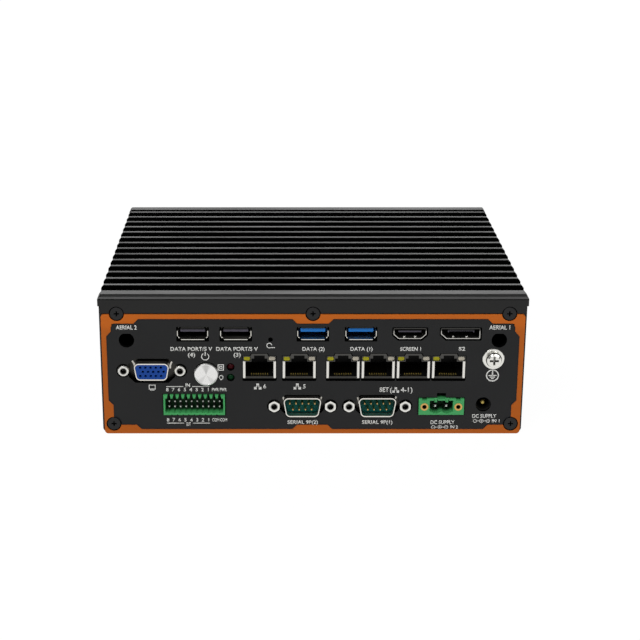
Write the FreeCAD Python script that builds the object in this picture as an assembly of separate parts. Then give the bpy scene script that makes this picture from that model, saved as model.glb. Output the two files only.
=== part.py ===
import FreeCAD
import Part
import math
import os

# Fanless industrial computer: a finned heat sink closes a folded sheet tray, and the
# connectors stand in a thick front plate.  Millimetres.  The origin is at the bottom
# centre, +X is to the right of the front plate, +Y is towards the back and +Z is up.

V = FreeCAD.Vector

# ---- overall sizes -----------------------------------------------------------------
WIDTH = 188.0            # over the heat sink
DEPTH = 152.0            # front film to back plate
HEIGHT = 65.0            # bottom of the tray to the fin tops
FRONT = -DEPTH / 2
BACK = DEPTH / 2
SEAM = 0.5               # visible joint between plates and heat sink
FIT = 0.05               # between pieces that are fitted by hand
SLIDE = 0.15             # round a small sliding plunger

# ---- sheet tray --------------------------------------------------------------------
TRAY_WIDTH = WIDTH - 0.4
SHEET = 1.2
BEND = 1.8               # outer bend radius
EAR_TOP = 60.2           # wall height at the four corners
WALL_TOP = 55.5          # wall height between the corners
EAR_LENGTH = 14.0
EAR_SLOPE = 4.7

# ---- end plates --------------------------------------------------------------------
PLATE_WIDTH = WIDTH - 2.4
PLATE_HEIGHT = 56.4
PLATE = 2.4
PLATE_CORNER = 1.6
FILM = 0.2               # printed film on the front plate
PLATE_FACE = FRONT + FILM
PLATE_REAR = PLATE_FACE + PLATE
REAR_FACE = BACK - PLATE
TRAY_FRONT = PLATE_REAR
TRAY_BACK = REAR_FACE

# ---- heat sink ---------------------------------------------------------------------
FIN_COUNT = 14
FIN = 1.9
FIRST_FIN = 16.2         # front face to the first fin's middle
LAST_FIN = 12.3          # last fin's middle to the back
FIN_PITCH = (DEPTH - FIRST_FIN - LAST_FIN) / (FIN_COUNT - 1)
CHANNEL_FLOOR = 56.0
SINK_BOTTOM = 51.6
RIM = 7.6                # depth of the front and back rims
RIM_SLOPE = 2.55         # chamfer along the rims, depth and height
RIM_DROP = 1.5
RIM_EDGE = 0.75          # steeper facet below that chamfer, depth and height
END_SLOPE = 1.2          # chamfer across the fin ends
END_DROP = 1.5

# ---- flat head screws --------------------------------------------------------------
HEAD_R = 2.95
HEAD_RIM = 0.4
SHANK_R = 1.45
SCREW_LENGTH = 7.0
CROSS = 2.4              # cross recess: length, width, depth
CROSS_WIDTH = 0.62
CROSS_DEEP = 1.2
HEAD_GAP = 0.4           # ring round the head
TOP_SCREW_X = WIDTH / 2 - 8.15
LOW_SCREW_X = WIDTH / 2 - 5.4
LOW_SCREW_Z = 4.7
TAB_WIDTH = 9.6          # bent tabs behind the lower screws
TAB_HEIGHT = 9.0
NUT_R = 2.8
NUT_LENGTH = 3.2
SIDE_SCREW_IN = 9.5      # from the plate faces to the side screws
SIDE_SCREW_Z = 53.8

# ---- boards ------------------------------------------------------------------------
BOARD = 1.6
BOARD_FRONT = 6.0        # front edge of the two lower boards
MAIN_FRONT = 3.2
MAIN_HALF = 75.0         # half widths
NETWORK_LEFT = 87.0
POWER_HALF = 84.0
POWER_TOP = 6.8
NETWORK_TOP = 25.8
MAIN_TOP = 42.9
BOARD_BACK = DEPTH - 27.0
STANDOFF_X = WIDTH / 2 - 23.0
STANDOFF_DEEP = (30.0, DEPTH - 34.0)
STANDOFF_FLATS = 5.5
STANDOFF_HOLE_R = 1.5

# ---- front layout: x and z of each centre ---------------------------------------------
ANTENNA_X = WIDTH / 2 - 12.2
ANTENNA_Z = 44.45
ANTENNA_R = 3.3
ANTENNA_FLAT = 2.9       # centre to the flat of the D hole
DATA_PORT_X = {4: -52.75, 3: -33.8, 2: 0.0, 1: 21.1}
DATA_PORT_Z = 47.6
AV_X = 42.6
DISPLAY_X = 64.8
WIDE_PORT_Z = 47.35
JACK_X = {6: -23.5, 5: -5.95, 4: 13.4, 3: 28.95, 2: 44.5, 1: 60.05}
VIDEO_X = -71.07
VIDEO_Z = 30.2
SERIAL_X = {2: -4.5, 1: 28.8}
SERIAL_Z = 13.3
IO_X = -52.55
IO_Z = 14.15
DC_X = 57.3
DC_Z = 13.3
DC_JACK_X = 76.0
DC_JACK_Z = 14.1
GROUND_X = 79.55
GROUND_Z = 35.9
BUTTON_X = -47.0
BUTTON_Z = 28.9
LED_X = -36.25
LED_RED_Z = 31.9
LED_GREEN_Z = 26.9
LED_R = 1.7
LED_GAP = 0.1
RESET_X = -18.6
RESET_Z = 44.75

# ---- power button and reset ------------------------------------------------------------
BUTTON_R = 5.2
BUTTON_PROUD = 2.0
BUTTON_TRAVEL = 1.5
BUTTON_GAP = 0.25        # round the cap
BUTTON_COLLAR_R = 6.3
BUTTON_COLLAR = 1.4
BUTTON_SEAT = 0.3        # collar to the back of the plate
STEM_R = 1.5
STEM_LENGTH = 6.6
STEM_GAP = 0.3
SWITCH_SIDE = 12.0
SWITCH_LENGTH = 8.7
CONTROL_BOARD = 1.2
CONTROL_LEFT = -54.0
CONTROL_RIGHT = -32.0
CONTROL_TOP = 38.0
RESET_R = 0.8
RESET_TRAVEL = 0.3
RESET_HOLE_R = 1.05

# ---- data ports ------------------------------------------------------------------------
PORT_WALL = 0.3
DATA_WIDTH = 12.9
DATA_HEIGHT = 5.2
DATA_FLARE = 0.35        # the mouth's flaps lean outwards by this much
DATA_MOUTH = -0.1        # where the flaps end, and where the plain box begins
DATA_BOX = 1.3
DATA_FLAP_SLANT = 0.75   # the flaps' ends slant inwards
DATA_DEEP = 14.5
DATA_CUT_WIDTH = 14.3
DATA_CUT_HEIGHT = 6.8
DATA_CUT_DROP = 0.35     # port centre down to the cut-out's middle
TONGUE_WIDTH = 10.8
TONGUE = 1.6
TONGUE_UP = 1.3          # port centre to tongue middle
TONGUE_RECESS = 1.0
TONGUE_BASE = 1.7

# ---- wide ports ------------------------------------------------------------------------
WIDE_HEIGHT = 4.9
WIDE_RECESS = 0.6
WIDE_DEEP = 12.0
WIDE_SPRING = 0.8        # width of the sprung tips on the floor
WIDE_CUT_GAP = 0.65
AV_WIDTH = 14.4
AV_BOTTOM_WIDTH = 10.0
AV_SIDE = 2.9
DISPLAY_WIDTH = 17.2
DISPLAY_CLIP = 2.4
DISPLAY_SIDE = 2.7

# ---- network jacks -----------------------------------------------------------------------
JACK_WIDTH = 14.5
JACK_BOTTOM = 26.5
JACK_TOP = 36.9
LATCH_TOP = 38.0
LATCH_FOOT = 3.9
LATCH_HALF = 3.4
JACK_RECESS = 0.3
JACK_DEEP = 21.0
JACK_WALL = 0.3
JACK_CUT_GAP = 0.35
JACK_CUT_DROP = 0.9      # the cut-out reaches this much further down
JACK_LIP = 0.8
JACK_SPRING = 0.3        # how far the lips' springs bulge inwards
JACK_RIM = 0.35          # rim round the plug opening
JACK_RIM_DEEP = 0.8
PLUG_WIDTH = 12.2
PLUG_BOTTOM = 27.3
PLUG_TOP = 34.35
KEY_WIDTH = 7.1
KEY_TOP = 35.8
TAB_SLOT_WIDTH = 4.7
TAB_SLOT_TOP = 37.2
PLUG_DEEP = 12.0
PIPE_WIDTH = 2.85
PIPE_HEIGHT = 1.8
PIPE_ROUND = 0.75
PIPE_DEEP = 14.0
WIRE_PITCH = 1.02
WIRE = 0.5

# ---- D-shaped connectors -----------------------------------------------------------------
FLANGE_WIDTH = 30.9
FLANGE_HEIGHT = 12.5
FLANGE = 0.8
FLANGE_DEEP = 4.0        # flange behind the plate face
JACKSCREW_SPAN = 25.0
JACKSCREW_R = 2.45
JACKSCREW_PROUD = 1.0
JACKSCREW_BORE_R = 1.35
JACKSCREW_SHANK_R = 1.4
HEX_FLATS = 4.75
WING_R = 3.2
D_SLOPE = math.radians(10)
D_ROUND = 2.1
D_WALL = 0.5
VIDEO_SHELL = (16.0, 7.9, 2.0)       # width, height, proud of the plate
SERIAL_SHELL = (17.3, 9.0, 1.9)
# plate openings as corners from the top to the bottom, right half, about the centre
VIDEO_OPENING = [(7.45, 5.6), (10.2, 3.1), (10.2, -3.05), (7.4, -5.8)]
SERIAL_OPENING = [(7.5, 5.3), (9.4, 3.6), (9.4, -2.3), (6.1, -5.0)]
VIDEO_PITCH = 2.29
VIDEO_ROW = 1.98
VIDEO_HOLE_R = 0.58
VIDEO_OUTER_SHIFT = -0.35            # the outer rows and the middle row are staggered
VIDEO_MIDDLE_SHIFT = 0.8
SERIAL_PITCH = 2.77
SERIAL_ROW = 2.84
SERIAL_PIN_R = 0.5
SERIAL_FLOOR = 3.0

# ---- terminals ---------------------------------------------------------------------------
IO_WIDTH = 27.3
IO_HEIGHT = 9.5
IO_WALL = 0.75
IO_SILL = 1.2            # thickness of the bottom wall
IO_COLUMNS = 10
IO_PITCH = 2.5
IO_PIN = 0.65
IO_PIN_DROP = 0.55
IO_TOOTH = 1.6           # height of the coding teeth, and the gaps between them
IO_GAP_TOP = 0.95
IO_GAP_BOTTOM = 1.8
TERMINAL_PROUD = 1.0
TERMINAL_DEEP = 11.0
TERMINAL_CUT_GAP = 0.35
DC_WIDTH = 20.1
DC_HEIGHT = 7.6
DC_CAVITY_WIDTH = 10.4
DC_RIB_RECESS = 1.2      # coding ribs behind the terminal's face
DC_NOTCH_WIDTH = 2.0
DC_NOTCH_DEEP = 0.75
DC_NUT_SPAN = 15.05
DC_NUT_R = 1.75
DC_NUT_BORE_R = 1.0
DC_PIN_PITCH = 4.95
DC_PIN = 1.0
DC_LATCH_WIDTH = 4.0
DC_LATCH_HEIGHT = 2.4
DC_JACK_HOLE_R = 3.4
DC_JACK_BORE_R = 3.15
DC_JACK_PIN_R = 1.0

# ---- ground point --------------------------------------------------------------------------
GROUND_WASHER_R = 4.8
GROUND_WASHER = 0.9
GROUND_HEAD_R = 3.5
GROUND_HEAD = 2.4
GROUND_SHANK_R = 1.95
GROUND_LENGTH = 5.0

# ---- tray mounting nuts ----------------------------------------------------------------------
MOUNT_X = WIDTH / 2 - 14.0
MOUNT_Y = DEPTH / 2 - 26.0
MOUNT_NUT_R = 3.8
MOUNT_NUT_TOP = 4.2
MOUNT_HOLE_R = 1.65

# ---- processor, heat block and cards -----------------------------------------------------------
CHIP_X = 20.0
CHIP_DEEP = 50.0
CHIP_SIDE = 31.0
CHIP_HEIGHT = 1.4
DIE_SIDE = 14.0
DIE_HEIGHT = 0.8
PASTE = 0.5
BLOCK_SIDE = 44.0
MEMORY_X = 30.0
MEMORY_DEEP = (82.0, 112.0)
MEMORY_WIDTH = 67.6
MEMORY_UP = 2.2
STORAGE_X = -40.0
STORAGE_DEEP = (28.0, 108.0)
STORAGE_WIDTH = 22.0
STORAGE_UP = 1.9
CARD = 1.2

parts = {}


# ---- helpers -----------------------------------------------------------------------------------
def block(x0, x1, y0, y1, z0, z1):
    return Part.makeBox(x1 - x0, y1 - y0, z1 - z0, V(x0, y0, z0))


def behind(deep):
    """Y of a plane that lies deep behind the front face."""
    return FRONT + deep


def slab(x, z, width, height, near, far):
    """Block centred on x and z, from one depth behind the front face to another."""
    return block(x - width / 2, x + width / 2, behind(near), behind(far),
                 z - height / 2, z + height / 2)


def rod_y(x, z, radius, near, far):
    return Part.makeCylinder(radius, far - near, V(x, behind(near), z), V(0, 1, 0))


def rod_z(x, y, radius, z0, z1):
    return Part.makeCylinder(radius, z1 - z0, V(x, y, z0), V(0, 0, 1))


def rounded_wire(corners, radius):
    """Closed wire through the corners, each one turned by an arc."""
    if radius <= 0:
        return Part.makePolygon(corners + corners[:1])
    count = len(corners)
    turns = []
    for i, corner in enumerate(corners):
        before = (corners[i - 1] - corner).normalize()
        after = (corners[(i + 1) % count] - corner).normalize()
        half = before.getAngle(after) / 2
        reach = radius / math.tan(half)
        inward = (before + after).normalize()
        middle = corner + inward * (radius / math.sin(half) - radius)
        turns.append((corner + before * reach, middle, corner + after * reach))
    edges = []
    for i, (start, middle, end) in enumerate(turns):
        edges.append(Part.Arc(start, middle, end).toShape())
        following = turns[(i + 1) % count][0]
        if (following - end).Length > 1e-6:
            edges.append(Part.makeLine(end, following))
    return Part.Wire(edges)


def wire_xz(points, near, radius=0.0):
    return rounded_wire([V(x, behind(near), z) for x, z in points], radius)


def prism_y(points, near, far, radius=0.0):
    """Outline in X and Z drawn out towards the back."""
    face = Part.Face(wire_xz(points, near, radius))
    return face.extrude(V(0, far - near, 0))


def prism_x(points, x0, x1, radius=0.0):
    """Outline in Y and Z drawn out to the right."""
    face = Part.Face(rounded_wire([V(x0, y, z) for y, z in points], radius))
    return face.extrude(V(x1 - x0, 0, 0))


def rectangle(x, z, width, height):
    half = width / 2
    rise = height / 2
    return [(x - half, z - rise), (x + half, z - rise), (x + half, z + rise), (x - half, z + rise)]


def mirrored(half_outline):
    """Full outline from its right half, listed from the top middle to the bottom middle."""
    return half_outline + [(-x, z) for x, z in reversed(half_outline)]


def turned(profile):
    """Solid of revolution about Z from radius and height pairs."""
    wire = Part.makePolygon([V(r, 0, z) for r, z in profile + profile[:1]])
    return Part.Face(wire).revolve(V(0, 0, 0), V(0, 0, 1), 360)


def aimed(shape, place, direction):
    """Copy of a shape drawn along +Z, moved to a place and turned to a direction."""
    copy = shape.copy()
    copy.Placement = FreeCAD.Placement(place, FreeCAD.Rotation(V(0, 0, 1), direction))
    return copy


def hexagon(flats, z0, z1):
    radius = flats / math.sqrt(3)
    corners = [V(radius * math.cos(math.radians(60 * i)), radius * math.sin(math.radians(60 * i)), z0)
               for i in range(6)]
    return Part.Face(Part.makePolygon(corners + corners[:1])).extrude(V(0, 0, z1 - z0))


def cross_recess(length, width, deep):
    """Cross recess cut into a head whose face is at z = 0."""
    bars = []
    for along in (0, 90):
        foot = width * 0.7
        bar = Part.makeLoft([
            Part.makePolygon([V(-length / 2, -width / 2, 0.01), V(length / 2, -width / 2, 0.01),
                              V(length / 2, width / 2, 0.01), V(-length / 2, width / 2, 0.01),
                              V(-length / 2, -width / 2, 0.01)]),
            Part.makePolygon([V(-length / 3.4, -foot / 2, -deep), V(length / 3.4, -foot / 2, -deep),
                              V(length / 3.4, foot / 2, -deep), V(-length / 3.4, foot / 2, -deep),
                              V(-length / 3.4, -foot / 2, -deep)])], True, True)
        bar.rotate(V(0, 0, 0), V(0, 0, 1), along)
        bars.append(bar)
    return bars[0].fuse(bars[1])


def flat_head_screw():
    """Countersunk screw, its head's face at z = 0 and its shank down -Z."""
    cone = HEAD_R - SHANK_R
    body = turned([(0, 0), (HEAD_R - 0.15, 0), (HEAD_R, -0.15), (HEAD_R, -HEAD_RIM),
                   (SHANK_R, -HEAD_RIM - cone), (SHANK_R, -SCREW_LENGTH + 0.5),
                   (SHANK_R - 0.5, -SCREW_LENGTH), (0, -SCREW_LENGTH)])
    return body.cut(cross_recess(CROSS, CROSS_WIDTH, CROSS_DEEP))


def flat_head_seat():
    """What a flat head screw clears away in the plates and the metal behind them."""
    wide = HEAD_R + HEAD_GAP
    hole = SHANK_R + FIT
    step = -HEAD_RIM - 2 * FIT
    return turned([(0, 1), (wide, 1), (wide, step), (HEAD_R, step), (hole, step - HEAD_R + hole),
                   (hole, -SCREW_LENGTH - FIT), (0, -SCREW_LENGTH - FIT)])


SCREW = flat_head_screw()
SEAT = flat_head_seat()
INTO_FRONT = V(0, -1, 0)
INTO_BACK = V(0, 1, 0)
TOP_SCREW_Z = PLATE_HEIGHT + SEAM / 2
PLATE_SCREWS = [(-TOP_SCREW_X, TOP_SCREW_Z), (0, TOP_SCREW_Z), (TOP_SCREW_X, TOP_SCREW_Z),
                (-LOW_SCREW_X, LOW_SCREW_Z), (LOW_SCREW_X, LOW_SCREW_Z)]


SCREW_TURNS = (18, -12, 30, 45, 5)       # degrees each screw's cross is left at


def at_plate_screws(shape, face_y, direction):
    placed = []
    for (x, z), turn in zip(PLATE_SCREWS, SCREW_TURNS):
        spun = shape.copy()
        spun.rotate(V(0, 0, 0), V(0, 0, 1), turn)
        placed.append(aimed(Part.Shape(spun), V(x, face_y, z), direction))
    return placed


def at_side_screws(shape):
    out = []
    for side in (-1, 1):
        for y in (FRONT + SIDE_SCREW_IN, BACK - SIDE_SCREW_IN):
            out.append(aimed(shape, V(side * TRAY_WIDTH / 2, y, SIDE_SCREW_Z), V(side, 0, 0)))
    return out


# ---- casing --------------------------------------------------------------------------------------
def wall_outline(grow):
    """Side wall in Y and Z: high at the four corners, low where the fin channels run out."""
    front = TRAY_FRONT - grow
    back = TRAY_BACK + grow
    ear = EAR_LENGTH + grow
    low = WALL_TOP + grow
    high = EAR_TOP + grow
    return [(front, 0), (back, 0), (back, high), (back - ear, high),
            (back - ear - EAR_SLOPE, low), (front + ear + EAR_SLOPE, low),
            (front + ear, high), (front, high)]


def make_heat_sink():
    lip = PLATE_HEIGHT + SEAM
    facet = HEIGHT - RIM_DROP + RIM_EDGE
    section = [(FRONT, lip), (FRONT, HEIGHT - RIM_DROP), (FRONT + RIM_EDGE, facet),
               (FRONT + RIM_SLOPE, HEIGHT), (FRONT + RIM, HEIGHT), (FRONT + RIM, CHANNEL_FLOOR)]
    for i in range(FIN_COUNT):
        middle = FRONT + FIRST_FIN + i * FIN_PITCH
        section += [(middle - FIN / 2, CHANNEL_FLOOR), (middle - FIN / 2, HEIGHT),
                    (middle + FIN / 2, HEIGHT), (middle + FIN / 2, CHANNEL_FLOOR)]
    section += [(BACK - RIM, CHANNEL_FLOOR), (BACK - RIM, HEIGHT), (BACK - RIM_SLOPE, HEIGHT),
                (BACK - RIM_EDGE, facet), (BACK, HEIGHT - RIM_DROP), (BACK, lip), (TRAY_BACK, lip),
                (TRAY_BACK, SINK_BOTTOM), (TRAY_FRONT, SINK_BOTTOM), (TRAY_FRONT, lip)]
    sink = prism_x(section, -WIDTH / 2, WIDTH / 2)
    for side in (-1, 1):
        edge = side * WIDTH / 2
        corner = [(edge - side * END_SLOPE, HEIGHT), (edge + side, HEIGHT + 1),
                  (edge + side, HEIGHT - END_DROP), (edge, HEIGHT - END_DROP)]
        sink = sink.cut(prism_y(corner, -1, DEPTH + 1))
        inner = side * (TRAY_WIDTH / 2 - SHEET - 2 * FIT)
        outer = side * (WIDTH / 2 + 1)
        step = prism_x(wall_outline(SEAM / 2), min(inner, outer), max(inner, outer))
        sink = sink.cut(step)
        for near, far in ((-1, FILM + PLATE), (DEPTH - PLATE, DEPTH + 1)):
            plate_side = side * PLATE_WIDTH / 2
            trim = block(min(plate_side, outer), max(plate_side, outer), behind(near), behind(far),
                         lip - 1, EAR_TOP)
            sink = sink.cut(trim)
    cutters = at_plate_screws(SEAT, PLATE_FACE, INTO_FRONT)[:3]
    cutters += at_plate_screws(SEAT, BACK, INTO_BACK)[:3]
    cutters += at_side_screws(SEAT)
    return sink.cut(cutters)


def make_tray():
    half = TRAY_WIDTH / 2
    outer = prism_y([(-half, 0), (half, 0), (half, EAR_TOP + 9), (-half, EAR_TOP + 9)],
                    TRAY_FRONT - FRONT, TRAY_BACK - FRONT, BEND)
    inner_half = half - SHEET
    inner = prism_y([(-inner_half, SHEET), (inner_half, SHEET), (inner_half, EAR_TOP + 12),
                     (-inner_half, EAR_TOP + 12)], -1, DEPTH + 1, BEND - SHEET)
    walls = prism_x(wall_outline(0), -half - 1, half + 1)
    tray = outer.cut(inner).common(walls)
    for face, inward in ((TRAY_FRONT, 1), (TRAY_BACK, -1)):
        for side in (-1, 1):
            near_x = side * (inner_half - TAB_WIDTH)
            far_x = side * (inner_half + SHEET / 2)
            y0 = min(face, face + inward * SHEET)
            tab = block(min(near_x, far_x), max(near_x, far_x), y0, y0 + SHEET,
                        SHEET / 2, SHEET + TAB_HEIGHT)
            nut = Part.makeCylinder(NUT_R, NUT_LENGTH + SHEET, V(side * LOW_SCREW_X, face, LOW_SCREW_Z),
                                    V(0, inward, 0))
            tray = tray.fuse([tab, nut])
    for x in (-MOUNT_X, MOUNT_X):
        for y in (-MOUNT_Y, MOUNT_Y):
            tray = tray.fuse(rod_z(x, y, MOUNT_NUT_R, SHEET / 2, MOUNT_NUT_TOP))
            tray = tray.cut(rod_z(x, y, MOUNT_HOLE_R, -1, MOUNT_NUT_TOP + 1))
    cutters = at_plate_screws(SEAT, PLATE_FACE, INTO_FRONT)[3:]
    cutters += at_plate_screws(SEAT, BACK, INTO_BACK)[3:]
    cutters += at_side_screws(SEAT)
    cutters += [aimed(SEAT, V(x, y, 0), V(0, 0, -1)) for x, y in standoff_places()]
    return tray.cut(cutters).removeSplitter()


def standoff_places():
    return [(x, behind(deep)) for x in (-STANDOFF_X, STANDOFF_X) for deep in STANDOFF_DEEP]


def jack_outline(x, grow):
    half = JACK_WIDTH / 2 + grow
    foot = LATCH_FOOT + grow
    top = LATCH_HALF + grow
    return [(x - half, JACK_BOTTOM - grow), (x + half, JACK_BOTTOM - grow),
            (x + half, JACK_TOP + grow), (x + foot, JACK_TOP + grow), (x + top, LATCH_TOP + grow),
            (x - top, LATCH_TOP + grow), (x - foot, JACK_TOP + grow), (x - half, JACK_TOP + grow)]


def av_outline(grow):
    half = AV_WIDTH / 2 + grow
    low = AV_BOTTOM_WIDTH / 2 + grow / 2
    top = WIDE_PORT_Z + WIDE_HEIGHT / 2 + grow
    bottom = WIDE_PORT_Z - WIDE_HEIGHT / 2 - grow
    side = top - AV_SIDE - grow * 1.5
    return [(AV_X + x, z) for x, z in ((-half, top), (-half, side), (-low, bottom),
                                       (low, bottom), (half, side), (half, top))]


def display_outline(grow):
    half = DISPLAY_WIDTH / 2 + grow
    low = half - DISPLAY_CLIP - grow / 2
    top = WIDE_PORT_Z + WIDE_HEIGHT / 2 + grow
    bottom = WIDE_PORT_Z - WIDE_HEIGHT / 2 - grow
    side = top - DISPLAY_SIDE - grow * 1.5
    return [(DISPLAY_X + x, z) for x, z in ((-half, top), (-half, side), (-low, bottom),
                                            (half, bottom), (half, top))]


def d_outline(x, z, width, height, grow=0.0):
    """D shape, wide side up."""
    wide = width / 2 + grow
    rise = height / 2 + grow
    narrow = wide - 2 * rise * math.tan(D_SLOPE)
    return [(x - wide, z + rise), (x - narrow, z - rise), (x + narrow, z - rise), (x + wide, z + rise)]


def d_cutout(x, z, half_outline):
    """Eight-sided opening with a round wing at each end for the jackscrews."""
    corners = [(x + across, z + up) for across, up in mirrored(half_outline)]
    cut = prism_y(corners, -1, PLATE + 1, 0.4)
    neck = slab(x, z, JACKSCREW_SPAN, WING_R, -1, PLATE + 1)
    wings = [rod_y(x + side * JACKSCREW_SPAN / 2, z, WING_R, -1, PLATE + 1) for side in (-1, 1)]
    return cut.fuse([neck] + wings)


def front_cutters(spare):
    """Every opening of the front plate; the film's antenna holes have some room to spare."""
    far = PLATE + 1
    cuts = []
    for side in (-1, 1):
        hole = rod_y(side * ANTENNA_X, ANTENNA_Z, ANTENNA_R + spare, -1, far)
        keep = slab(side * ANTENNA_X, ANTENNA_Z + ANTENNA_FLAT - ANTENNA_R + spare,
                    2 * ANTENNA_R + 1, 2 * ANTENNA_R + spare, -1, far)
        cuts.append(hole.common(keep))
    for x in DATA_PORT_X.values():
        cuts.append(prism_y(rectangle(x, DATA_PORT_Z - DATA_CUT_DROP, DATA_CUT_WIDTH, DATA_CUT_HEIGHT),
                            -1, far, 0.4))
    cuts.append(prism_y(av_outline(WIDE_CUT_GAP), -1, far, 0.5))
    cuts.append(prism_y(display_outline(WIDE_CUT_GAP), -1, far, 0.5))
    for x in JACK_X.values():
        middle = (JACK_BOTTOM + JACK_TOP) / 2 - JACK_CUT_DROP - JACK_CUT_GAP
        lower = rectangle(x, middle, JACK_WIDTH + 2 * JACK_CUT_GAP, JACK_TOP - JACK_BOTTOM)
        opening = prism_y(jack_outline(x, JACK_CUT_GAP), -1, far)
        cuts.append(opening.fuse(prism_y(lower, -1, far, 0.6)))
    cuts.append(d_cutout(VIDEO_X, VIDEO_Z, VIDEO_OPENING))
    for x in SERIAL_X.values():
        cuts.append(d_cutout(x, SERIAL_Z, SERIAL_OPENING))
    gap = 2 * TERMINAL_CUT_GAP
    cuts.append(slab(IO_X, IO_Z, IO_WIDTH + gap, IO_HEIGHT + gap, -1, far))
    latch_z = DC_Z + DC_HEIGHT / 2 + DC_LATCH_HEIGHT / 2
    dc_body = slab(DC_X, DC_Z, DC_WIDTH + gap, DC_HEIGHT + gap, -1, far)
    cuts.append(dc_body.fuse(slab(DC_X, latch_z, DC_LATCH_WIDTH, DC_LATCH_HEIGHT, -1, far)))
    cuts.append(rod_y(DC_JACK_X, DC_JACK_Z, DC_JACK_HOLE_R, -1, far))
    cuts.append(rod_y(BUTTON_X, BUTTON_Z, BUTTON_R + BUTTON_GAP, -1, far))
    for z in (LED_RED_Z, LED_GREEN_Z):
        cuts.append(rod_y(LED_X, z, LED_R + LED_GAP, -1, far))
    cuts.append(rod_y(RESET_X, RESET_Z, RESET_HOLE_R, -1, far))
    cuts.append(rod_y(GROUND_X, GROUND_Z, GROUND_SHANK_R + FIT, -1, far))
    return cuts


def plate_blank(near, far):
    middle = PLATE_HEIGHT / 2
    return prism_y(rectangle(0, middle, PLATE_WIDTH, PLATE_HEIGHT), near, far, PLATE_CORNER)


def make_front_panel(cuts):
    plate = plate_blank(FILM, FILM + PLATE)
    nut = rod_y(GROUND_X, GROUND_Z, NUT_R + 0.7, FILM + PLATE / 2, FILM + PLATE + NUT_LENGTH)
    plate = plate.fuse(nut).removeSplitter()
    hole = rod_y(GROUND_X, GROUND_Z, GROUND_SHANK_R + FIT, -1, FILM + PLATE + NUT_LENGTH + 1)
    return plate.cut(cuts + [hole] + at_plate_screws(SEAT, PLATE_FACE, INTO_FRONT))


def film_outline():
    """Printed field: a border that steps inwards round each screw."""
    side = PLATE_WIDTH / 2 - 2.2
    top = PLATE_HEIGHT - 2.15
    bottom = 2.25
    step = 2.1
    return mirrored([
        (6.9, top - step), (9.0, top), (76.5, top), (76.5 + step, top - step),
        (87.3, top - step), (side - step, top - step - 1.5), (side - step, top - step - 3.6),
        (side, top - 8.0), (side, 16.0), (side - step, 13.8), (side - step, bottom + step),
        (76.3 + step, bottom + step), (76.3, bottom), (9.0, bottom), (6.9, bottom + step)])


def make_film(cuts):
    film = prism_y(film_outline(), 0, FILM)
    heads = [rod_y(x, z, HEAD_R + HEAD_GAP, -1, FILM + 1) for x, z in PLATE_SCREWS]
    return film.cut(cuts + heads)


def make_rear_panel():
    plate = plate_blank(DEPTH - PLATE, DEPTH)
    return plate.cut(at_plate_screws(SEAT, BACK, INTO_BACK))


# ---- ports on the main board ---------------------------------------------------------------------
def flap(x, z, width, height, lean_x, lean_z):
    """Sheet flap at the mouth of a port: it leans outwards and its ends slant."""
    mouth_width = width if lean_x else width - 2 * DATA_FLAP_SLANT
    mouth_height = height if lean_z else height - 2 * DATA_FLAP_SLANT
    return Part.makeLoft([
        wire_xz(rectangle(x + lean_x, z + lean_z, mouth_width, mouth_height), DATA_MOUTH),
        wire_xz(rectangle(x, z, width, height), DATA_BOX)], True, True)


def make_data_shell(x):
    """Folded metal box with four flared flaps at its mouth, a closed back and board legs."""
    z = DATA_PORT_Z
    inner_width = DATA_WIDTH - 2 * PORT_WALL
    inner_height = DATA_HEIGHT - 2 * PORT_WALL
    box = prism_y(rectangle(x, z, DATA_WIDTH, DATA_HEIGHT), DATA_BOX, DATA_DEEP, 0.6)
    hollow = prism_y(rectangle(x, z, inner_width, inner_height), 0, DATA_DEEP - PORT_WALL, 0.3)
    shell = box.cut(hollow)
    extras = []
    for side in (-1, 1):
        wall_x = x + side * (DATA_WIDTH - PORT_WALL) / 2
        wall_z = z + side * (DATA_HEIGHT - PORT_WALL) / 2
        extras.append(flap(wall_x, z, PORT_WALL, DATA_HEIGHT - 1.2, side * DATA_FLARE, 0))
        extras.append(flap(x, wall_z, DATA_WIDTH - 1.2, PORT_WALL, 0, side * DATA_FLARE))
        for near in (4.5, 10.5):
            extras.append(block(wall_x - PORT_WALL / 2, wall_x + PORT_WALL / 2, behind(near),
                                behind(near + 1.8), MAIN_TOP, z))
    return shell.fuse(extras).removeSplitter()


def make_tongue(x, z, width, thick, recess, back, inside):
    """Plastic tongue on a base that fills the back of its shell."""
    base = prism_y(inside, back - TONGUE_BASE, back)
    tongue = prism_y(rectangle(x, z, width, thick), recess, back - TONGUE_BASE / 2)
    return base.fuse(tongue).removeSplitter()


def make_data_tongue(x):
    width = DATA_WIDTH - 2 * PORT_WALL - 2 * FIT
    height = DATA_HEIGHT - 2 * PORT_WALL - 2 * FIT
    inside = rectangle(x, DATA_PORT_Z, width, height)
    body = make_tongue(x, DATA_PORT_Z + TONGUE_UP, TONGUE_WIDTH, TONGUE, TONGUE_RECESS,
                       DATA_DEEP - PORT_WALL - FIT, inside)
    mould = prism_y(rectangle(x, DATA_PORT_Z, width, height), 0, DATA_DEEP, 0.3)
    return body.common(mould)


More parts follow.
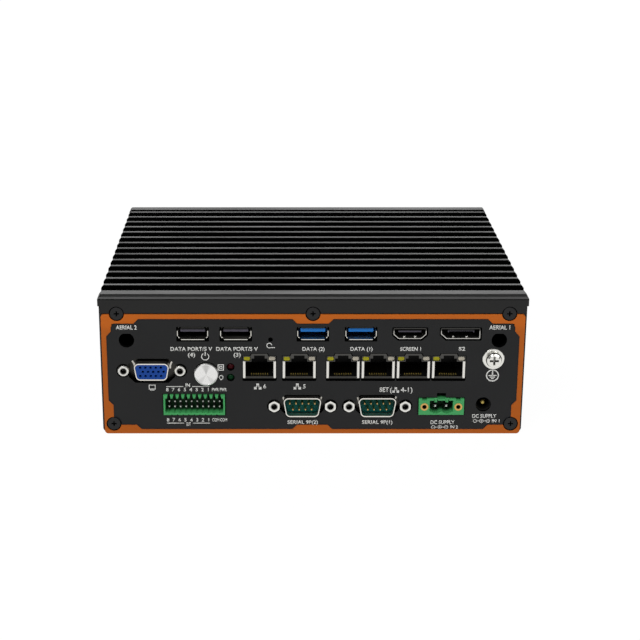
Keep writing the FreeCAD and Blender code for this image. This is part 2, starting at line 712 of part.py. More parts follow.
def make_wide_shell(outline, feet_x, springs_x):
    """Folded metal shell of a wide port, with two board feet and two springs on its floor."""
    shell = prism_y(outline(0), WIDE_RECESS, WIDE_DEEP, 0.45)
    shell = shell.cut(prism_y(outline(-PORT_WALL), -1, WIDE_DEEP - PORT_WALL, 0.2))
    feet = [block(x - 1.2, x + 1.2, behind(6), behind(8), MAIN_TOP,
                  WIDE_PORT_Z - WIDE_HEIGHT / 2 + PORT_WALL / 2) for x in feet_x]
    floor = WIDE_PORT_Z - WIDE_HEIGHT / 2 + PORT_WALL
    springs = [prism_x([(behind(1.8), floor), (behind(2.0), floor + 0.5), (behind(5.0), floor)],
                       x - WIDE_SPRING / 2, x + WIDE_SPRING / 2) for x in springs_x]
    return shell.fuse(feet + springs).removeSplitter()


def make_av_tongue():
    return make_tongue(AV_X, WIDE_PORT_Z + 0.65, 10.0, 0.9, 1.8,
                       WIDE_DEEP - PORT_WALL - FIT, av_outline(-PORT_WALL - FIT))


def make_display_tongue():
    """Tongue with a short turned-down lip at each end."""
    x = DISPLAY_X + 0.3
    z = WIDE_PORT_Z + 1.2
    half = 5.8
    near = 1.6
    back = WIDE_DEEP - PORT_WALL - FIT
    tongue = make_tongue(x, z, 2 * half, 0.9, near, back, display_outline(-PORT_WALL - FIT))
    lips = [slab(x + side * (half - 0.25), z - 0.6, 0.5, 0.9, near, back) for side in (-1, 1)]
    return tongue.fuse(lips).removeSplitter()


# ---- network jacks ---------------------------------------------------------------------------------
def plug_outline(x, grow):
    """Stepped opening for a plug: body, key and latch slot."""
    half = PLUG_WIDTH / 2 + grow
    key = KEY_WIDTH / 2 + grow
    slot = TAB_SLOT_WIDTH / 2 + grow
    steps = mirrored([(slot, TAB_SLOT_TOP + grow), (slot, KEY_TOP + grow), (key, KEY_TOP + grow),
                      (key, PLUG_TOP + grow), (half, PLUG_TOP + grow), (half, PLUG_BOTTOM - grow)])
    return [(x + across, z) for across, z in steps]


def jack_lip(x, side):
    """Wall turned in at one side of the opening, with a spring bulging from its middle."""
    edge = JACK_WIDTH / 2
    lip = edge - JACK_LIP
    bulge = lip - JACK_SPRING
    bottom = PLUG_BOTTOM - 0.5
    middle = (bottom + PLUG_TOP) / 2
    outline = [(edge, bottom), (lip, bottom), (lip, middle - 1.5), (bulge, middle - 0.9),
               (bulge, middle + 0.9), (lip, middle + 1.5), (lip, PLUG_TOP), (edge, PLUG_TOP)]
    return prism_y([(x + side * across, z) for across, z in outline],
                   JACK_RECESS, JACK_RECESS + JACK_WALL)


def make_jack_shell(x):
    """Metal shell with turned-in lips and a stepped rim round the plug opening."""
    near = JACK_RECESS
    shell = prism_y(jack_outline(x, 0), near, JACK_DEEP)
    shell = shell.cut(prism_y(jack_outline(x, -JACK_WALL), near - 1, JACK_DEEP - JACK_WALL))
    rim = prism_y(plug_outline(x, JACK_RIM), near, near + JACK_RIM_DEEP)
    shoulders = slab(x, LATCH_TOP - 1, 2 * LATCH_FOOT, 2, near, near + JACK_RIM_DEEP)
    rim = rim.fuse(shoulders).common(prism_y(jack_outline(x, 0), near, JACK_DEEP))
    extras = [rim.cut(prism_y(plug_outline(x, 0), near - 1, JACK_DEEP))]
    for side in (-1, 1):
        extras.append(jack_lip(x, side))
        wall = x + side * (JACK_WIDTH - JACK_WALL) / 2
        extras.append(block(wall - JACK_WALL / 2, wall + JACK_WALL / 2, behind(8), behind(10),
                            NETWORK_TOP, JACK_BOTTOM + 1))
    return shell.fuse(extras).removeSplitter()


def light_pipe(x, side, near, far, shrink=0.0):
    """Rounded light pipe in one upper corner of a jack."""
    across = x + side * (JACK_WIDTH / 2 - JACK_WALL - PIPE_WIDTH / 2)
    middle = JACK_TOP - JACK_WALL - PIPE_HEIGHT / 2
    outline = rectangle(across, middle, PIPE_WIDTH - 2 * shrink, PIPE_HEIGHT - 2 * shrink)
    return prism_y(outline, near, far, PIPE_ROUND - shrink)


def make_jack_insert(x):
    """Moulding that fills the shell round the plug cavity and the two light pipes."""
    near = JACK_RECESS + JACK_WALL
    body = prism_y(jack_outline(x, -JACK_WALL - FIT), near, JACK_DEEP - JACK_WALL - FIT)
    rim = prism_y(plug_outline(x, JACK_RIM + FIT), 0, JACK_RECESS + JACK_RIM_DEEP + FIT)
    shoulders = slab(x, LATCH_TOP - 1, 2 * (LATCH_FOOT + FIT), 2 + 2 * FIT, 0,
                     JACK_RECESS + JACK_RIM_DEEP + FIT)
    cavity = prism_y(plug_outline(x, 0), 0, near + PLUG_DEEP)
    pipes = [light_pipe(x, side, 0, JACK_RECESS + PIPE_DEEP) for side in (-1, 1)]
    return body.cut([rim, shoulders, cavity] + pipes)


def make_jack_wires(x):
    """Eight spring wires that rise from the floor of the plug cavity."""
    wires = []
    low = PLUG_BOTTOM
    near = behind(3.0)
    far = behind(JACK_RECESS + JACK_WALL + PLUG_DEEP)
    section = [(near, low), (near + 1.0, low), (far, low + 1.9), (far, low + 2.15),
               (near + 0.9, low + 0.45), (near, low + 0.45)]
    for i in range(8):
        start = x + (i - 3.5) * WIRE_PITCH - WIRE / 2
        wires.append(prism_x(section, start, start + WIRE))
    return wires


# ---- D-shaped connectors ---------------------------------------------------------------------------
def make_d_shell(x, z, shell):
    """Drawn shell and its flange, stamped in one piece."""
    width, height, proud = shell
    near = -proud
    skirt = prism_y(d_outline(x, z, width, height), near, FLANGE_DEEP + FLANGE, D_ROUND)
    plate = prism_y(rectangle(x, z, FLANGE_WIDTH, FLANGE_HEIGHT), FLANGE_DEEP,
                    FLANGE_DEEP + FLANGE, 1.0)
    hollow = prism_y(d_outline(x, z, width, height, -D_WALL), near - 1, FLANGE_DEEP + FLANGE + 1,
                     D_ROUND - D_WALL)
    holes = [rod_y(x + side * JACKSCREW_SPAN / 2, z, JACKSCREW_BORE_R + 0.3, 0, 9) for side in (-1, 1)]
    return plate.fuse(skirt).removeSplitter().cut([hollow] + holes)


def make_d_body(x, z, shell, face, board_top):
    """Moulded insulator: a D nose inside the shell and a block behind the flange."""
    width, height, _ = shell
    nose = prism_y(d_outline(x, z, width, height, -D_WALL - FIT), face, FLANGE_DEEP + FLANGE + 1,
                   D_ROUND - D_WALL - FIT)
    rear = block(x - width / 2 - 0.6, x + width / 2 + 0.6, behind(FLANGE_DEEP + FLANGE + FIT),
                 behind(15), board_top, z + height / 2 + 0.8)
    return nose.fuse(rear).removeSplitter()


def make_video_insert():
    body = make_d_body(VIDEO_X, VIDEO_Z, VIDEO_SHELL, -VIDEO_SHELL[2] + 0.35, NETWORK_TOP)
    holes = []
    for row in (-1, 0, 1):
        shift = VIDEO_MIDDLE_SHIFT if row == 0 else VIDEO_OUTER_SHIFT
        for column in range(-2, 3):
            holes.append(rod_y(VIDEO_X + shift + column * VIDEO_PITCH, VIDEO_Z + row * VIDEO_ROW,
                               VIDEO_HOLE_R, -3, 1.5))
    return body.cut(holes)


def serial_pin_places(x):
    places = [(x + column * SERIAL_PITCH, SERIAL_Z + SERIAL_ROW / 2) for column in range(-2, 3)]
    places += [(x + (column + 0.5) * SERIAL_PITCH, SERIAL_Z - SERIAL_ROW / 2) for column in range(-2, 2)]
    return places


def make_serial_insert(x):
    body = make_d_body(x, SERIAL_Z, SERIAL_SHELL, SERIAL_FLOOR, POWER_TOP)
    return body.cut([rod_y(px, pz, SERIAL_PIN_R + FIT, 0, 9) for px, pz in serial_pin_places(x)])


def make_serial_pins(x):
    pin = turned([(0, 0), (SERIAL_PIN_R * 0.5, 0), (SERIAL_PIN_R, -0.5), (SERIAL_PIN_R, -9.8), (0, -9.8)])
    return [aimed(pin, V(px, behind(-0.9), pz), INTO_FRONT) for px, pz in serial_pin_places(x)]


def jackscrew(radius):
    """Head with a threaded bore in its face, and a threaded shank."""
    length = JACKSCREW_PROUD + FLANGE_DEEP - FIT
    floor = -length + 0.9
    return turned([(JACKSCREW_BORE_R, 0), (radius - 0.3, 0), (radius, -0.3), (radius, -length),
                   (JACKSCREW_SHANK_R, -length), (JACKSCREW_SHANK_R, -length - 4), (0, -length - 4),
                   (0, floor - 0.6), (JACKSCREW_BORE_R, floor)])


def hex_flats():
    """Six blocks that leave a hexagon of the jackscrew's width across flats."""
    blocks = []
    for turn in range(6):
        cutter = Part.makeBox(4, 8, 9, V(HEX_FLATS / 2, -4, FIT - JACKSCREW_PROUD - FLANGE_DEEP))
        cutter.rotate(V(0, 0, 0), V(0, 0, 1), 60 * turn)
        blocks.append(cutter)
    return blocks


def make_jackscrews():
    round_screw = jackscrew(JACKSCREW_R)
    hex_screw = jackscrew(HEX_FLATS / math.sqrt(3) + 0.05).cut(hex_flats())
    pieces = []
    for screw, x, z in ((round_screw, VIDEO_X, VIDEO_Z), (hex_screw, SERIAL_X[1], SERIAL_Z),
                        (hex_screw, SERIAL_X[2], SERIAL_Z)):
        for side in (-1, 1):
            place = V(x + side * JACKSCREW_SPAN / 2, behind(-JACKSCREW_PROUD), z)
            pieces.append(aimed(screw, place, INTO_FRONT))
    return pieces


# ---- terminals -----------------------------------------------------------------------------------------
def io_columns():
    return [IO_X + (i - (IO_COLUMNS - 1) / 2) * IO_PITCH for i in range(IO_COLUMNS)]


def io_rows():
    return [IO_Z - IO_PIN_DROP + rise * IO_PITCH / 2 for rise in (-1, 1)]


def make_io_terminal():
    """Header with tapered coding teeth along its top wall and grooves along its bottom."""
    near = -TERMINAL_PROUD
    body = slab(IO_X, IO_Z, IO_WIDTH, IO_HEIGHT, near, TERMINAL_DEEP)
    foot = block(IO_X - IO_WIDTH / 2, IO_X + IO_WIDTH / 2, behind(6.5), behind(TERMINAL_DEEP),
                 POWER_TOP, IO_Z)
    floor = 7.0
    top = IO_Z + IO_HEIGHT / 2
    bottom = IO_Z - IO_HEIGHT / 2
    half = IO_WIDTH / 2 - IO_WALL
    cavity = block(IO_X - half, IO_X + half, behind(near - 1), behind(floor),
                   bottom + IO_SILL, top - IO_TOOTH)
    slots = []
    wide = IO_GAP_BOTTOM / 2
    slim = IO_GAP_TOP / 2
    for x in io_columns():
        slots.append(prism_y([(x - wide, top - IO_TOOTH - 0.1), (x + wide, top - IO_TOOTH - 0.1),
                              (x + slim, top + 0.1), (x - slim, top + 0.1)], near - 1, floor - 1))
        slots.append(prism_y([(x - 0.7, bottom + IO_SILL + 0.1), (x, bottom + IO_SILL - 0.35),
                              (x + 0.7, bottom + IO_SILL + 0.1)], near - 1, floor - 1))
    for left in io_columns()[:-1]:
        x = left + IO_PITCH / 2
        slots.append(prism_y([(x - 0.5, bottom - 0.1), (x + 0.5, bottom - 0.1), (x, bottom + 0.4)],
                             near - 1, floor - 0.5))
    pins = [slab(x, z, IO_PIN + FIT, IO_PIN + FIT, 0, TERMINAL_DEEP + 1)
            for x in io_columns() for z in io_rows()]
    return body.fuse(foot).removeSplitter().cut([cavity] + slots + pins)


def dc_pin_places():
    return [(DC_X + side * DC_PIN_PITCH / 2, DC_Z - 0.65) for side in (-1, 1)]


def make_dc_terminal():
    """Flanged two-pole header: lobed cavity, two nut pockets and two coding ribs."""
    near = -TERMINAL_PROUD
    body = slab(DC_X, DC_Z, DC_WIDTH, DC_HEIGHT, near, TERMINAL_DEEP)
    foot = block(DC_X - DC_WIDTH / 2, DC_X + DC_WIDTH / 2, behind(6.5), behind(TERMINAL_DEEP),
                 POWER_TOP, DC_Z)
    floor = 7.0
    top = DC_Z + DC_HEIGHT / 2
    cavity = block(DC_X - DC_CAVITY_WIDTH / 2, DC_X + DC_CAVITY_WIDTH / 2, behind(near - 1),
                   behind(floor), DC_Z - 2.3, top - 0.8)
    lobes = [rod_y(x, DC_Z - 0.7, 2.45, near - 1, floor) for x, _ in dc_pin_places()]
    ribs = [slab(x, top - 1.4, 1.3, 1.3, near + DC_RIB_RECESS, floor) for x, _ in dc_pin_places()]
    entries = [slab(x, top - 0.4, 1.7, 1.0, near - 1, near + DC_RIB_RECESS) for x, _ in dc_pin_places()]
    pins = [slab(x, z, DC_PIN + FIT, DC_PIN + FIT, 0, TERMINAL_DEEP + 1) for x, z in dc_pin_places()]
    nuts = [rod_y(DC_X + side * DC_NUT_SPAN / 2, DC_Z, DC_NUT_R + FIT, near - 1, 6) for side in (-1, 1)]
    notches = [slab(DC_X + side * DC_NUT_SPAN / 2, top, DC_NOTCH_WIDTH, 2 * DC_NOTCH_DEEP, near - 1, 6.5)
               for side in (-1, 1)]
    hollow = cavity.fuse(lobes).cut(ribs)
    return body.fuse(foot).removeSplitter().cut([hollow] + entries + pins + nuts + notches)


def make_terminal_pins():
    pins = []
    for x in io_columns():
        for z in io_rows():
            pins.append(tapered_pin(x, z, IO_PIN, 1.5))
    for x, z in dc_pin_places():
        pins.append(tapered_pin(x, z, DC_PIN, 1.5))
    return pins


def tapered_pin(x, z, side, near):
    tip = Part.makeLoft([wire_xz(rectangle(x, z, side / 2, side / 2), near),
                         wire_xz(rectangle(x, z, side, side), near + side / 2)], True, True)
    return tip.fuse(slab(x, z, side, side, near + side / 2, TERMINAL_DEEP)).removeSplitter()


def make_terminal_nuts():
    nuts = []
    for side in (-1, 1):
        x = DC_X + side * DC_NUT_SPAN / 2
        nut = rod_y(x, DC_Z, DC_NUT_R, -TERMINAL_PROUD - 0.1, 6 - FIT)
        nuts.append(nut.cut(rod_y(x, DC_Z, DC_NUT_BORE_R, -TERMINAL_PROUD - 1, 5)))
    return nuts


def make_dc_jack():
    body = block(DC_JACK_X - 4.5, DC_JACK_X + 4.5, behind(FILM + PLATE + 0.1), behind(17),
                 POWER_TOP, DC_JACK_Z + 5.4)
    nose = rod_y(DC_JACK_X, DC_JACK_Z, DC_JACK_HOLE_R - 0.1, 0.9, 6)
    bore = rod_y(DC_JACK_X, DC_JACK_Z, DC_JACK_BORE_R - 0.35, 0, 11)
    mouth = Part.makeCone(DC_JACK_BORE_R, DC_JACK_BORE_R - 0.35, 0.6,
                          V(DC_JACK_X, behind(0.9), DC_JACK_Z), V(0, 1, 0))
    seat = rod_y(DC_JACK_X, DC_JACK_Z, DC_JACK_PIN_R + FIT, 10, 15)
    return body.fuse(nose).removeSplitter().cut([bore, mouth, seat])


def make_dc_jack_pin():
    pin = turned([(0, 0), (DC_JACK_PIN_R * 0.6, 0), (DC_JACK_PIN_R, -0.5),
                  (DC_JACK_PIN_R, -12.5), (0, -12.5)])
    return aimed(pin, V(DC_JACK_X, behind(2.2), DC_JACK_Z), INTO_FRONT)


# ---- controls ------------------------------------------------------------------------------------------
SWITCH_NEAR = FILM + PLATE + BUTTON_SEAT + BUTTON_COLLAR + BUTTON_TRAVEL + 0.5
CONTROL_NEAR = SWITCH_NEAR + SWITCH_LENGTH
STEM_START = FILM + PLATE + BUTTON_SEAT + BUTTON_COLLAR


def make_power_button():
    """Turned cap with a chamfered rim, a collar behind the plate and a stem."""
    length = BUTTON_PROUD + STEM_START
    collar = length - BUTTON_COLLAR
    end = length + STEM_LENGTH
    cap = turned([(0, -0.15), (BUTTON_R - 0.6, -0.15), (BUTTON_R - 0.45, 0), (BUTTON_R - 0.3, 0),
                  (BUTTON_R, -0.3), (BUTTON_R, -collar), (BUTTON_COLLAR_R, -collar),
                  (BUTTON_COLLAR_R, -length), (STEM_R, -length), (STEM_R, -end), (0, -end)])
    return aimed(cap, V(BUTTON_X, behind(-BUTTON_PROUD), BUTTON_Z), INTO_FRONT)


def make_power_switch():
    body = slab(BUTTON_X, BUTTON_Z, SWITCH_SIDE, SWITCH_SIDE, SWITCH_NEAR, CONTROL_NEAR)
    deep = STEM_START + STEM_LENGTH + BUTTON_TRAVEL + 0.5
    return body.cut(rod_y(BUTTON_X, BUTTON_Z, STEM_R + STEM_GAP, SWITCH_NEAR - 1, deep))


def make_led(z):
    lens = turned([(0, -LED_R), (LED_R, -LED_R), (LED_R, -7), (LED_R + 0.3, -7), (LED_R + 0.3, -8),
                   (0, -8)])
    dome = Part.makeSphere(LED_R, V(0, 0, -LED_R), V(0, 0, 1), 0, 90, 360)
    body = aimed(lens.fuse(dome).removeSplitter(), V(LED_X, behind(0.3), z), INTO_FRONT)
    leads = [slab(LED_X + side * 1.27, z, 0.5, 0.5, 8, CONTROL_NEAR) for side in (-1, 1)]
    return body.fuse(leads).removeSplitter()


def make_reset():
    near = 5.0
    body = block(RESET_X - 3.1, RESET_X + 3.1, behind(near), behind(near + 4), MAIN_TOP, MAIN_TOP + 3.7)
    far = near + 2 + RESET_TRAVEL + 0.3
    body = body.cut(rod_y(RESET_X, RESET_Z, RESET_R + SLIDE, near - 1, far))
    plunger = turned([(0, 0), (RESET_R - 0.2, 0), (RESET_R, -0.2), (RESET_R, -3.6), (0, -3.6)])
    return body, aimed(plunger, V(RESET_X, behind(near - 1.6), RESET_Z), INTO_FRONT)


def make_ground_point():
    face = -GROUND_WASHER
    washer = rod_y(GROUND_X, GROUND_Z, GROUND_WASHER_R, face, 0)
    washer = washer.makeChamfer(0.2, [e for e in washer.Edges if abs(e.CenterOfMass.y - behind(face)) < 0.01
                                      and len(e.Vertexes) == 1])
    washer = washer.cut(rod_y(GROUND_X, GROUND_Z, GROUND_SHANK_R + 0.2, face - 1, 1))
    end = GROUND_HEAD + GROUND_WASHER + GROUND_LENGTH
    screw = turned([(0, 0), (GROUND_HEAD_R - 1.2, 0), (GROUND_HEAD_R - 0.35, -0.45), (GROUND_HEAD_R, -1.2),
                    (GROUND_HEAD_R, -GROUND_HEAD), (GROUND_SHANK_R, -GROUND_HEAD),
                    (GROUND_SHANK_R, -end), (0, -end)])
    screw = screw.cut(cross_recess(4.0, 0.95, 1.5))
    return aimed(screw, V(GROUND_X, behind(face - GROUND_HEAD), GROUND_Z), INTO_FRONT), washer


# ---- boards and what they carry --------------------------------------------------------------------------
def board(x0, x1, near, top):
    plate = block(x0, x1, behind(near), behind(BOARD_BACK), top - BOARD, top)
    return plate.cut([rod_z(x, y, STANDOFF_HOLE_R + FIT, top - BOARD - 1, top + 1)
                      for x, y in standoff_places()])


def make_mainboard():
    """Main board with its soldered memory and storage sockets."""
    plate = board(-MAIN_HALF, MAIN_HALF, MAIN_FRONT, MAIN_TOP)
    low, high = MEMORY_DEEP
    memory = block(MEMORY_X - MEMORY_WIDTH / 2 - 2, MEMORY_X + MEMORY_WIDTH / 2 + 2, behind(high),
                   behind(high + 5.5), MAIN_TOP, MAIN_TOP + 5)
    storage = block(STORAGE_X - STORAGE_WIDTH / 2, STORAGE_X + STORAGE_WIDTH / 2,
                    behind(STORAGE_DEEP[1]), behind(STORAGE_DEEP[1] + 6), MAIN_TOP, MAIN_TOP + 4.2)
    post = rod_z(STORAGE_X, behind(STORAGE_DEEP[0] + 1), 2.5, MAIN_TOP, MAIN_TOP + STORAGE_UP)
    rests = [block(MEMORY_X + side * 30 - 1.5, MEMORY_X + side * 30 + 1.5, behind(low + 8),
                   behind(high), MAIN_TOP, MAIN_TOP + MEMORY_UP) for side in (-1, 1)]
    return plate.fuse([memory, storage, post] + rests).removeSplitter()


def make_network_board():
    """Network board: notched for the controls, with a transformer behind each jack."""
    plate = board(-NETWORK_LEFT, MAIN_HALF, BOARD_FRONT, NETWORK_TOP)
    notch = block(CONTROL_LEFT - 0.5, CONTROL_RIGHT + 0.4, behind(0),
                  behind(CONTROL_NEAR + CONTROL_BOARD + 1.6),
                  NETWORK_TOP - BOARD - 1, NETWORK_TOP + 1)
    plate = plate.cut(notch)
    blocks = [block(x - 6.5, x + 6.5, behind(24), behind(40), NETWORK_TOP, NETWORK_TOP + 5.5)
              for x in JACK_X.values()]
    blocks.append(block(-50, -36, behind(CONTROL_NEAR + CONTROL_BOARD), behind(CONTROL_NEAR + 8),
                        NETWORK_TOP, NETWORK_TOP + 6))
    blocks.append(block(-60, -20, behind(60), behind(66), NETWORK_TOP, MAIN_TOP - BOARD))
    return plate.fuse(blocks).removeSplitter()


def make_power_board():
    """Power and serial board with its coils, capacitors and the connector to the board above."""
    plate = board(-POWER_HALF, POWER_HALF, BOARD_FRONT, POWER_TOP)
    coils = [block(x - 6, x + 6, behind(40), behind(52), POWER_TOP, POWER_TOP + 5) for x in (30, 46, 62)]
    cans = [rod_z(x, behind(66), 5, POWER_TOP, POWER_TOP + 12) for x in (26, 38, 50, 62)]
    link = block(-60, -20, behind(80), behind(86), POWER_TOP, NETWORK_TOP - BOARD)
    return plate.fuse(coils + cans + [link]).removeSplitter()


def make_standoffs():
    levels = [(SHEET, POWER_TOP - BOARD), (POWER_TOP, NETWORK_TOP - BOARD),
              (NETWORK_TOP, MAIN_TOP - BOARD), (MAIN_TOP, SINK_BOTTOM)]
    pieces = []
    for low, high in levels:
        pillar = hexagon(STANDOFF_FLATS, low, high).cut(rod_z(0, 0, SHANK_R + FIT, low - 1, high + 1))
        if low == SHEET:
            pillar = pillar.cut(aimed(SEAT, V(0, 0, 0), V(0, 0, -1)))
        for x, y in standoff_places():
            copy = pillar.copy()
            copy.translate(V(x, y, 0))
            pieces.append(copy)
    return pieces


def make_card(x, width, deeps, up):
    """Plug-in card with its chips: a board edge in the socket and packages on top."""
    low, high = deeps
    plate = block(x - width / 2, x + width / 2, behind(low), behind(high),
                  MAIN_TOP + up, MAIN_TOP + up + CARD)
    chips = []
    count = 4 if width > 40 else 1
    for i in range(count):
        middle = x + (i - (count - 1) / 2) * width / count
        half = 0.36 * width / count
        chips.append(block(middle - half, middle + half, behind(low + 8), behind(low + 20),
                           MAIN_TOP + up + CARD, MAIN_TOP + up + CARD + 1))
    return plate.fuse(chips).removeSplitter()


def make_processor():
    y = behind(CHIP_DEEP)
    half = CHIP_SIDE / 2
    die = DIE_SIDE / 2
    top = MAIN_TOP + CHIP_HEIGHT
    base = block(CHIP_X - half, CHIP_X + half, y - half, y + half, MAIN_TOP, top)
    lid = block(CHIP_X - die, CHIP_X + die, y - die, y + die, top, top + DIE_HEIGHT)
    return base.fuse(lid).removeSplitter()


def make_heat_block():
    y = behind(CHIP_DEEP)
    half = BLOCK_SIDE / 2
    low = MAIN_TOP + CHIP_HEIGHT + DIE_HEIGHT + PASTE
    blank = block(CHIP_X - half, CHIP_X + half, y - half, y + half, low, SINK_BOTTOM)
    uprights = [e for e in blank.Edges if abs(e.tangentAt(e.FirstParameter).z) > 0.9]
    return blank.makeFillet(3, uprights)


def make_thermal_pad():
    die = DIE_SIDE / 2 + 1
    low = MAIN_TOP + CHIP_HEIGHT + DIE_HEIGHT
    y = behind(CHIP_DEEP)
    return block(CHIP_X - die, CHIP_X + die, y - die, y + die, low, low + PASTE)


# ---- build -------------------------------------------------------------------------------------------------
def build():
    parts["heat_sink"] = make_heat_sink()
    parts["chassis_tray"] = make_tray()
    parts["front_panel"] = make_front_panel(front_cutters(0))
    parts["panel_overlay"] = make_film(front_cutters(0.1))
    parts["rear_panel"] = make_rear_panel()
    parts["front_screws"] = at_plate_screws(SCREW, PLATE_FACE, INTO_FRONT)
    parts["rear_screws"] = at_plate_screws(SCREW, BACK, INTO_BACK)
    parts["side_screws"] = at_side_screws(SCREW)
    parts["bottom_screws"] = [aimed(SCREW, V(x, y, 0), V(0, 0, -1)) for x, y in standoff_places()]
    parts["ground_screw"], parts["ground_washer"] = make_ground_point()
    parts["power_button"] = make_power_button()
    parts["power_switch"] = make_power_switch()
    parts["control_board"] = block(CONTROL_LEFT, CONTROL_RIGHT, behind(CONTROL_NEAR),
                                   behind(CONTROL_NEAR + CONTROL_BOARD),
                                   BUTTON_Z - SWITCH_SIDE / 2, CONTROL_TOP)
    parts["status_led_red"] = make_led(LED_RED_Z)
    parts["status_led_green"] = make_led(LED_GREEN_Z)
    parts["reset_switch"], parts["reset_plunger"] = make_reset()
    for number, x in DATA_PORT_X.items():
        parts["data_port_shell_%d" % number] = make_data_shell(x)
    parts["data_port_tongues_blue"] = [make_data_tongue(DATA_PORT_X[n]) for n in (1, 2)]
    parts["data_port_tongues_black"] = [make_data_tongue(DATA_PORT_X[n]) for n in (3, 4)]
    parts["av_port_shell"] = make_wide_shell(av_outline, [AV_X - 3, AV_X + 3],
                                             [AV_X - 2.4, AV_X + 2.4])
    parts["av_port_tongue"] = make_av_tongue()
    parts["display_port_shell"] = make_wide_shell(display_outline, [DISPLAY_X - 4, DISPLAY_X + 6],
                                                  [DISPLAY_X - 3.1, DISPLAY_X + 2.8])
    parts["display_port_tongue"] = make_display_tongue()
    parts["network_jack_shells"] = [make_jack_shell(x) for x in JACK_X.values()]
    wires = []
    for number, x in JACK_X.items():
        parts["network_jack_insert_%d" % number] = make_jack_insert(x)
        wires += make_jack_wires(x)
    parts["network_jack_contacts"] = wires
    near = JACK_RECESS + 0.1
    far = JACK_RECESS + PIPE_DEEP - FIT
    parts["link_light_pipes"] = [light_pipe(x, -1, near, far, FIT) for x in JACK_X.values()]
    parts["activity_light_pipes"] = [light_pipe(x, 1, near, far, FIT) for x in JACK_X.values()]
    parts["video_port_shell"] = make_d_shell(VIDEO_X, VIDEO_Z, VIDEO_SHELL)
    parts["video_port_insert"] = make_video_insert()
    pins = []
    for number, x in SERIAL_X.items():
        parts["serial_port_shell_%d" % number] = make_d_shell(x, SERIAL_Z, SERIAL_SHELL)
        pins += make_serial_pins(x)
    parts["serial_port_inserts"] = [make_serial_insert(x) for x in SERIAL_X.values()]
    parts["serial_port_pins"] = pins
    parts["port_jackscrews"] = make_jackscrews()
    parts["io_terminal"] = make_io_terminal()
    parts["dc_terminal"] = make_dc_terminal()
    parts["terminal_pins"] = make_terminal_pins()
    parts["terminal_nuts"] = make_terminal_nuts()
    parts["dc_jack"] = make_dc_jack()
    parts["dc_jack_pin"] = make_dc_jack_pin()
    parts["mainboard"] = make_mainboard()
    parts["network_board"] = make_network_board()
    parts["power_board"] = make_power_board()
    parts["processor"] = make_processor()
    parts["thermal_pad"] = make_thermal_pad()
    parts["heat_block"] = make_heat_block()
    parts["memory_module"] = make_card(MEMORY_X, MEMORY_WIDTH, MEMORY_DEEP, MEMORY_UP)
    parts["storage_card"] = make_card(STORAGE_X, STORAGE_WIDTH, STORAGE_DEEP, STORAGE_UP)
    parts["board_standoffs"] = make_standoffs()


def export():
    os.makedirs("parts", exist_ok=True)
    for name, shape in parts.items():
        solids = shape if isinstance(shape, list) else shape.Solids
        whole = solids[0] if len(solids) == 1 else Part.makeCompound(solids)
        whole.exportStep("parts/%s.step" % name)
        print("%-26s %2d solids  %10.2f mm3" % (name, len(solids), whole.Volume))


build()
export()
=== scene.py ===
import math

import bmesh
import bpy
from mathutils import Matrix, Vector


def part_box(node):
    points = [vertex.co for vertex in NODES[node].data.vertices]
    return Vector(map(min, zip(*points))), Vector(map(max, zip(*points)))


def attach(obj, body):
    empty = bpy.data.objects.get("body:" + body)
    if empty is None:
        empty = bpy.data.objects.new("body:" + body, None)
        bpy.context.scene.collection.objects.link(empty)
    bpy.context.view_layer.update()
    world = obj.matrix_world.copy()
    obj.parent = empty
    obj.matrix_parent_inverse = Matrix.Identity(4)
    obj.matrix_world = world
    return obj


# Looks of the fanless industrial computer: materials, printed marks, light and camera.
# Lengths are in millimetres and are turned into metres where a mesh is made.

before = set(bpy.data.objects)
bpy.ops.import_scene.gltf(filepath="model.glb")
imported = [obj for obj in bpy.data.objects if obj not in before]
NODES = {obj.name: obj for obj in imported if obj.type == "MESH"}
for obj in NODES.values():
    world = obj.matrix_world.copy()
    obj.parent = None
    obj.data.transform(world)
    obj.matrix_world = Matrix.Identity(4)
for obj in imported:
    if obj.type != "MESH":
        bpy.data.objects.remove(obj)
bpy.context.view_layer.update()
MM = 0.001


def middle(node):
    """Middle of a node's box, millimetres."""
    low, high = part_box(node)
    return Vector([(a + b) / 2 / MM for a, b in zip(low, high)])


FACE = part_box("panel_overlay")[0][1] / MM       # Y of the printed film's face
INK = 0.03                                      # how far the print stands on the film
INK_GAP = 0.005                                 # between the film and the print
CAPITAL = 0.69                                  # height of a capital in a font of size 1
BUTTON = middle("power_button")
GROUND = middle("ground_screw")
IO = middle("io_terminal")
DC = middle("dc_terminal")
SINK_LOW, SINK_HIGH = [Vector(corner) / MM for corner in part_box("heat_sink")]
JACKS = [middle("network_jack_insert_%d" % number) for number in range(1, 7)]


def loose_middles(node):
    """Middle of each separate solid of a node, millimetres."""
    shape = bmesh.new()
    shape.from_mesh(NODES[node].data)
    bmesh.ops.remove_doubles(shape, verts=shape.verts, dist=1e-6)
    left = set(shape.verts)
    middles = []
    while left:
        group = [left.pop()]
        for vert in group:
            for edge in vert.link_edges:
                other = edge.other_vert(vert)
                if other in left:
                    left.discard(other)
                    group.append(other)
        low, high = [[pick(v.co[axis] for v in group) for axis in range(3)] for pick in (min, max)]
        middles.append((Vector(low) + Vector(high)) / 2 / MM)
    shape.free()
    return middles


FRONT_SCREWS = loose_middles("front_screws")
JACKSCREWS = loose_middles("port_jackscrews")


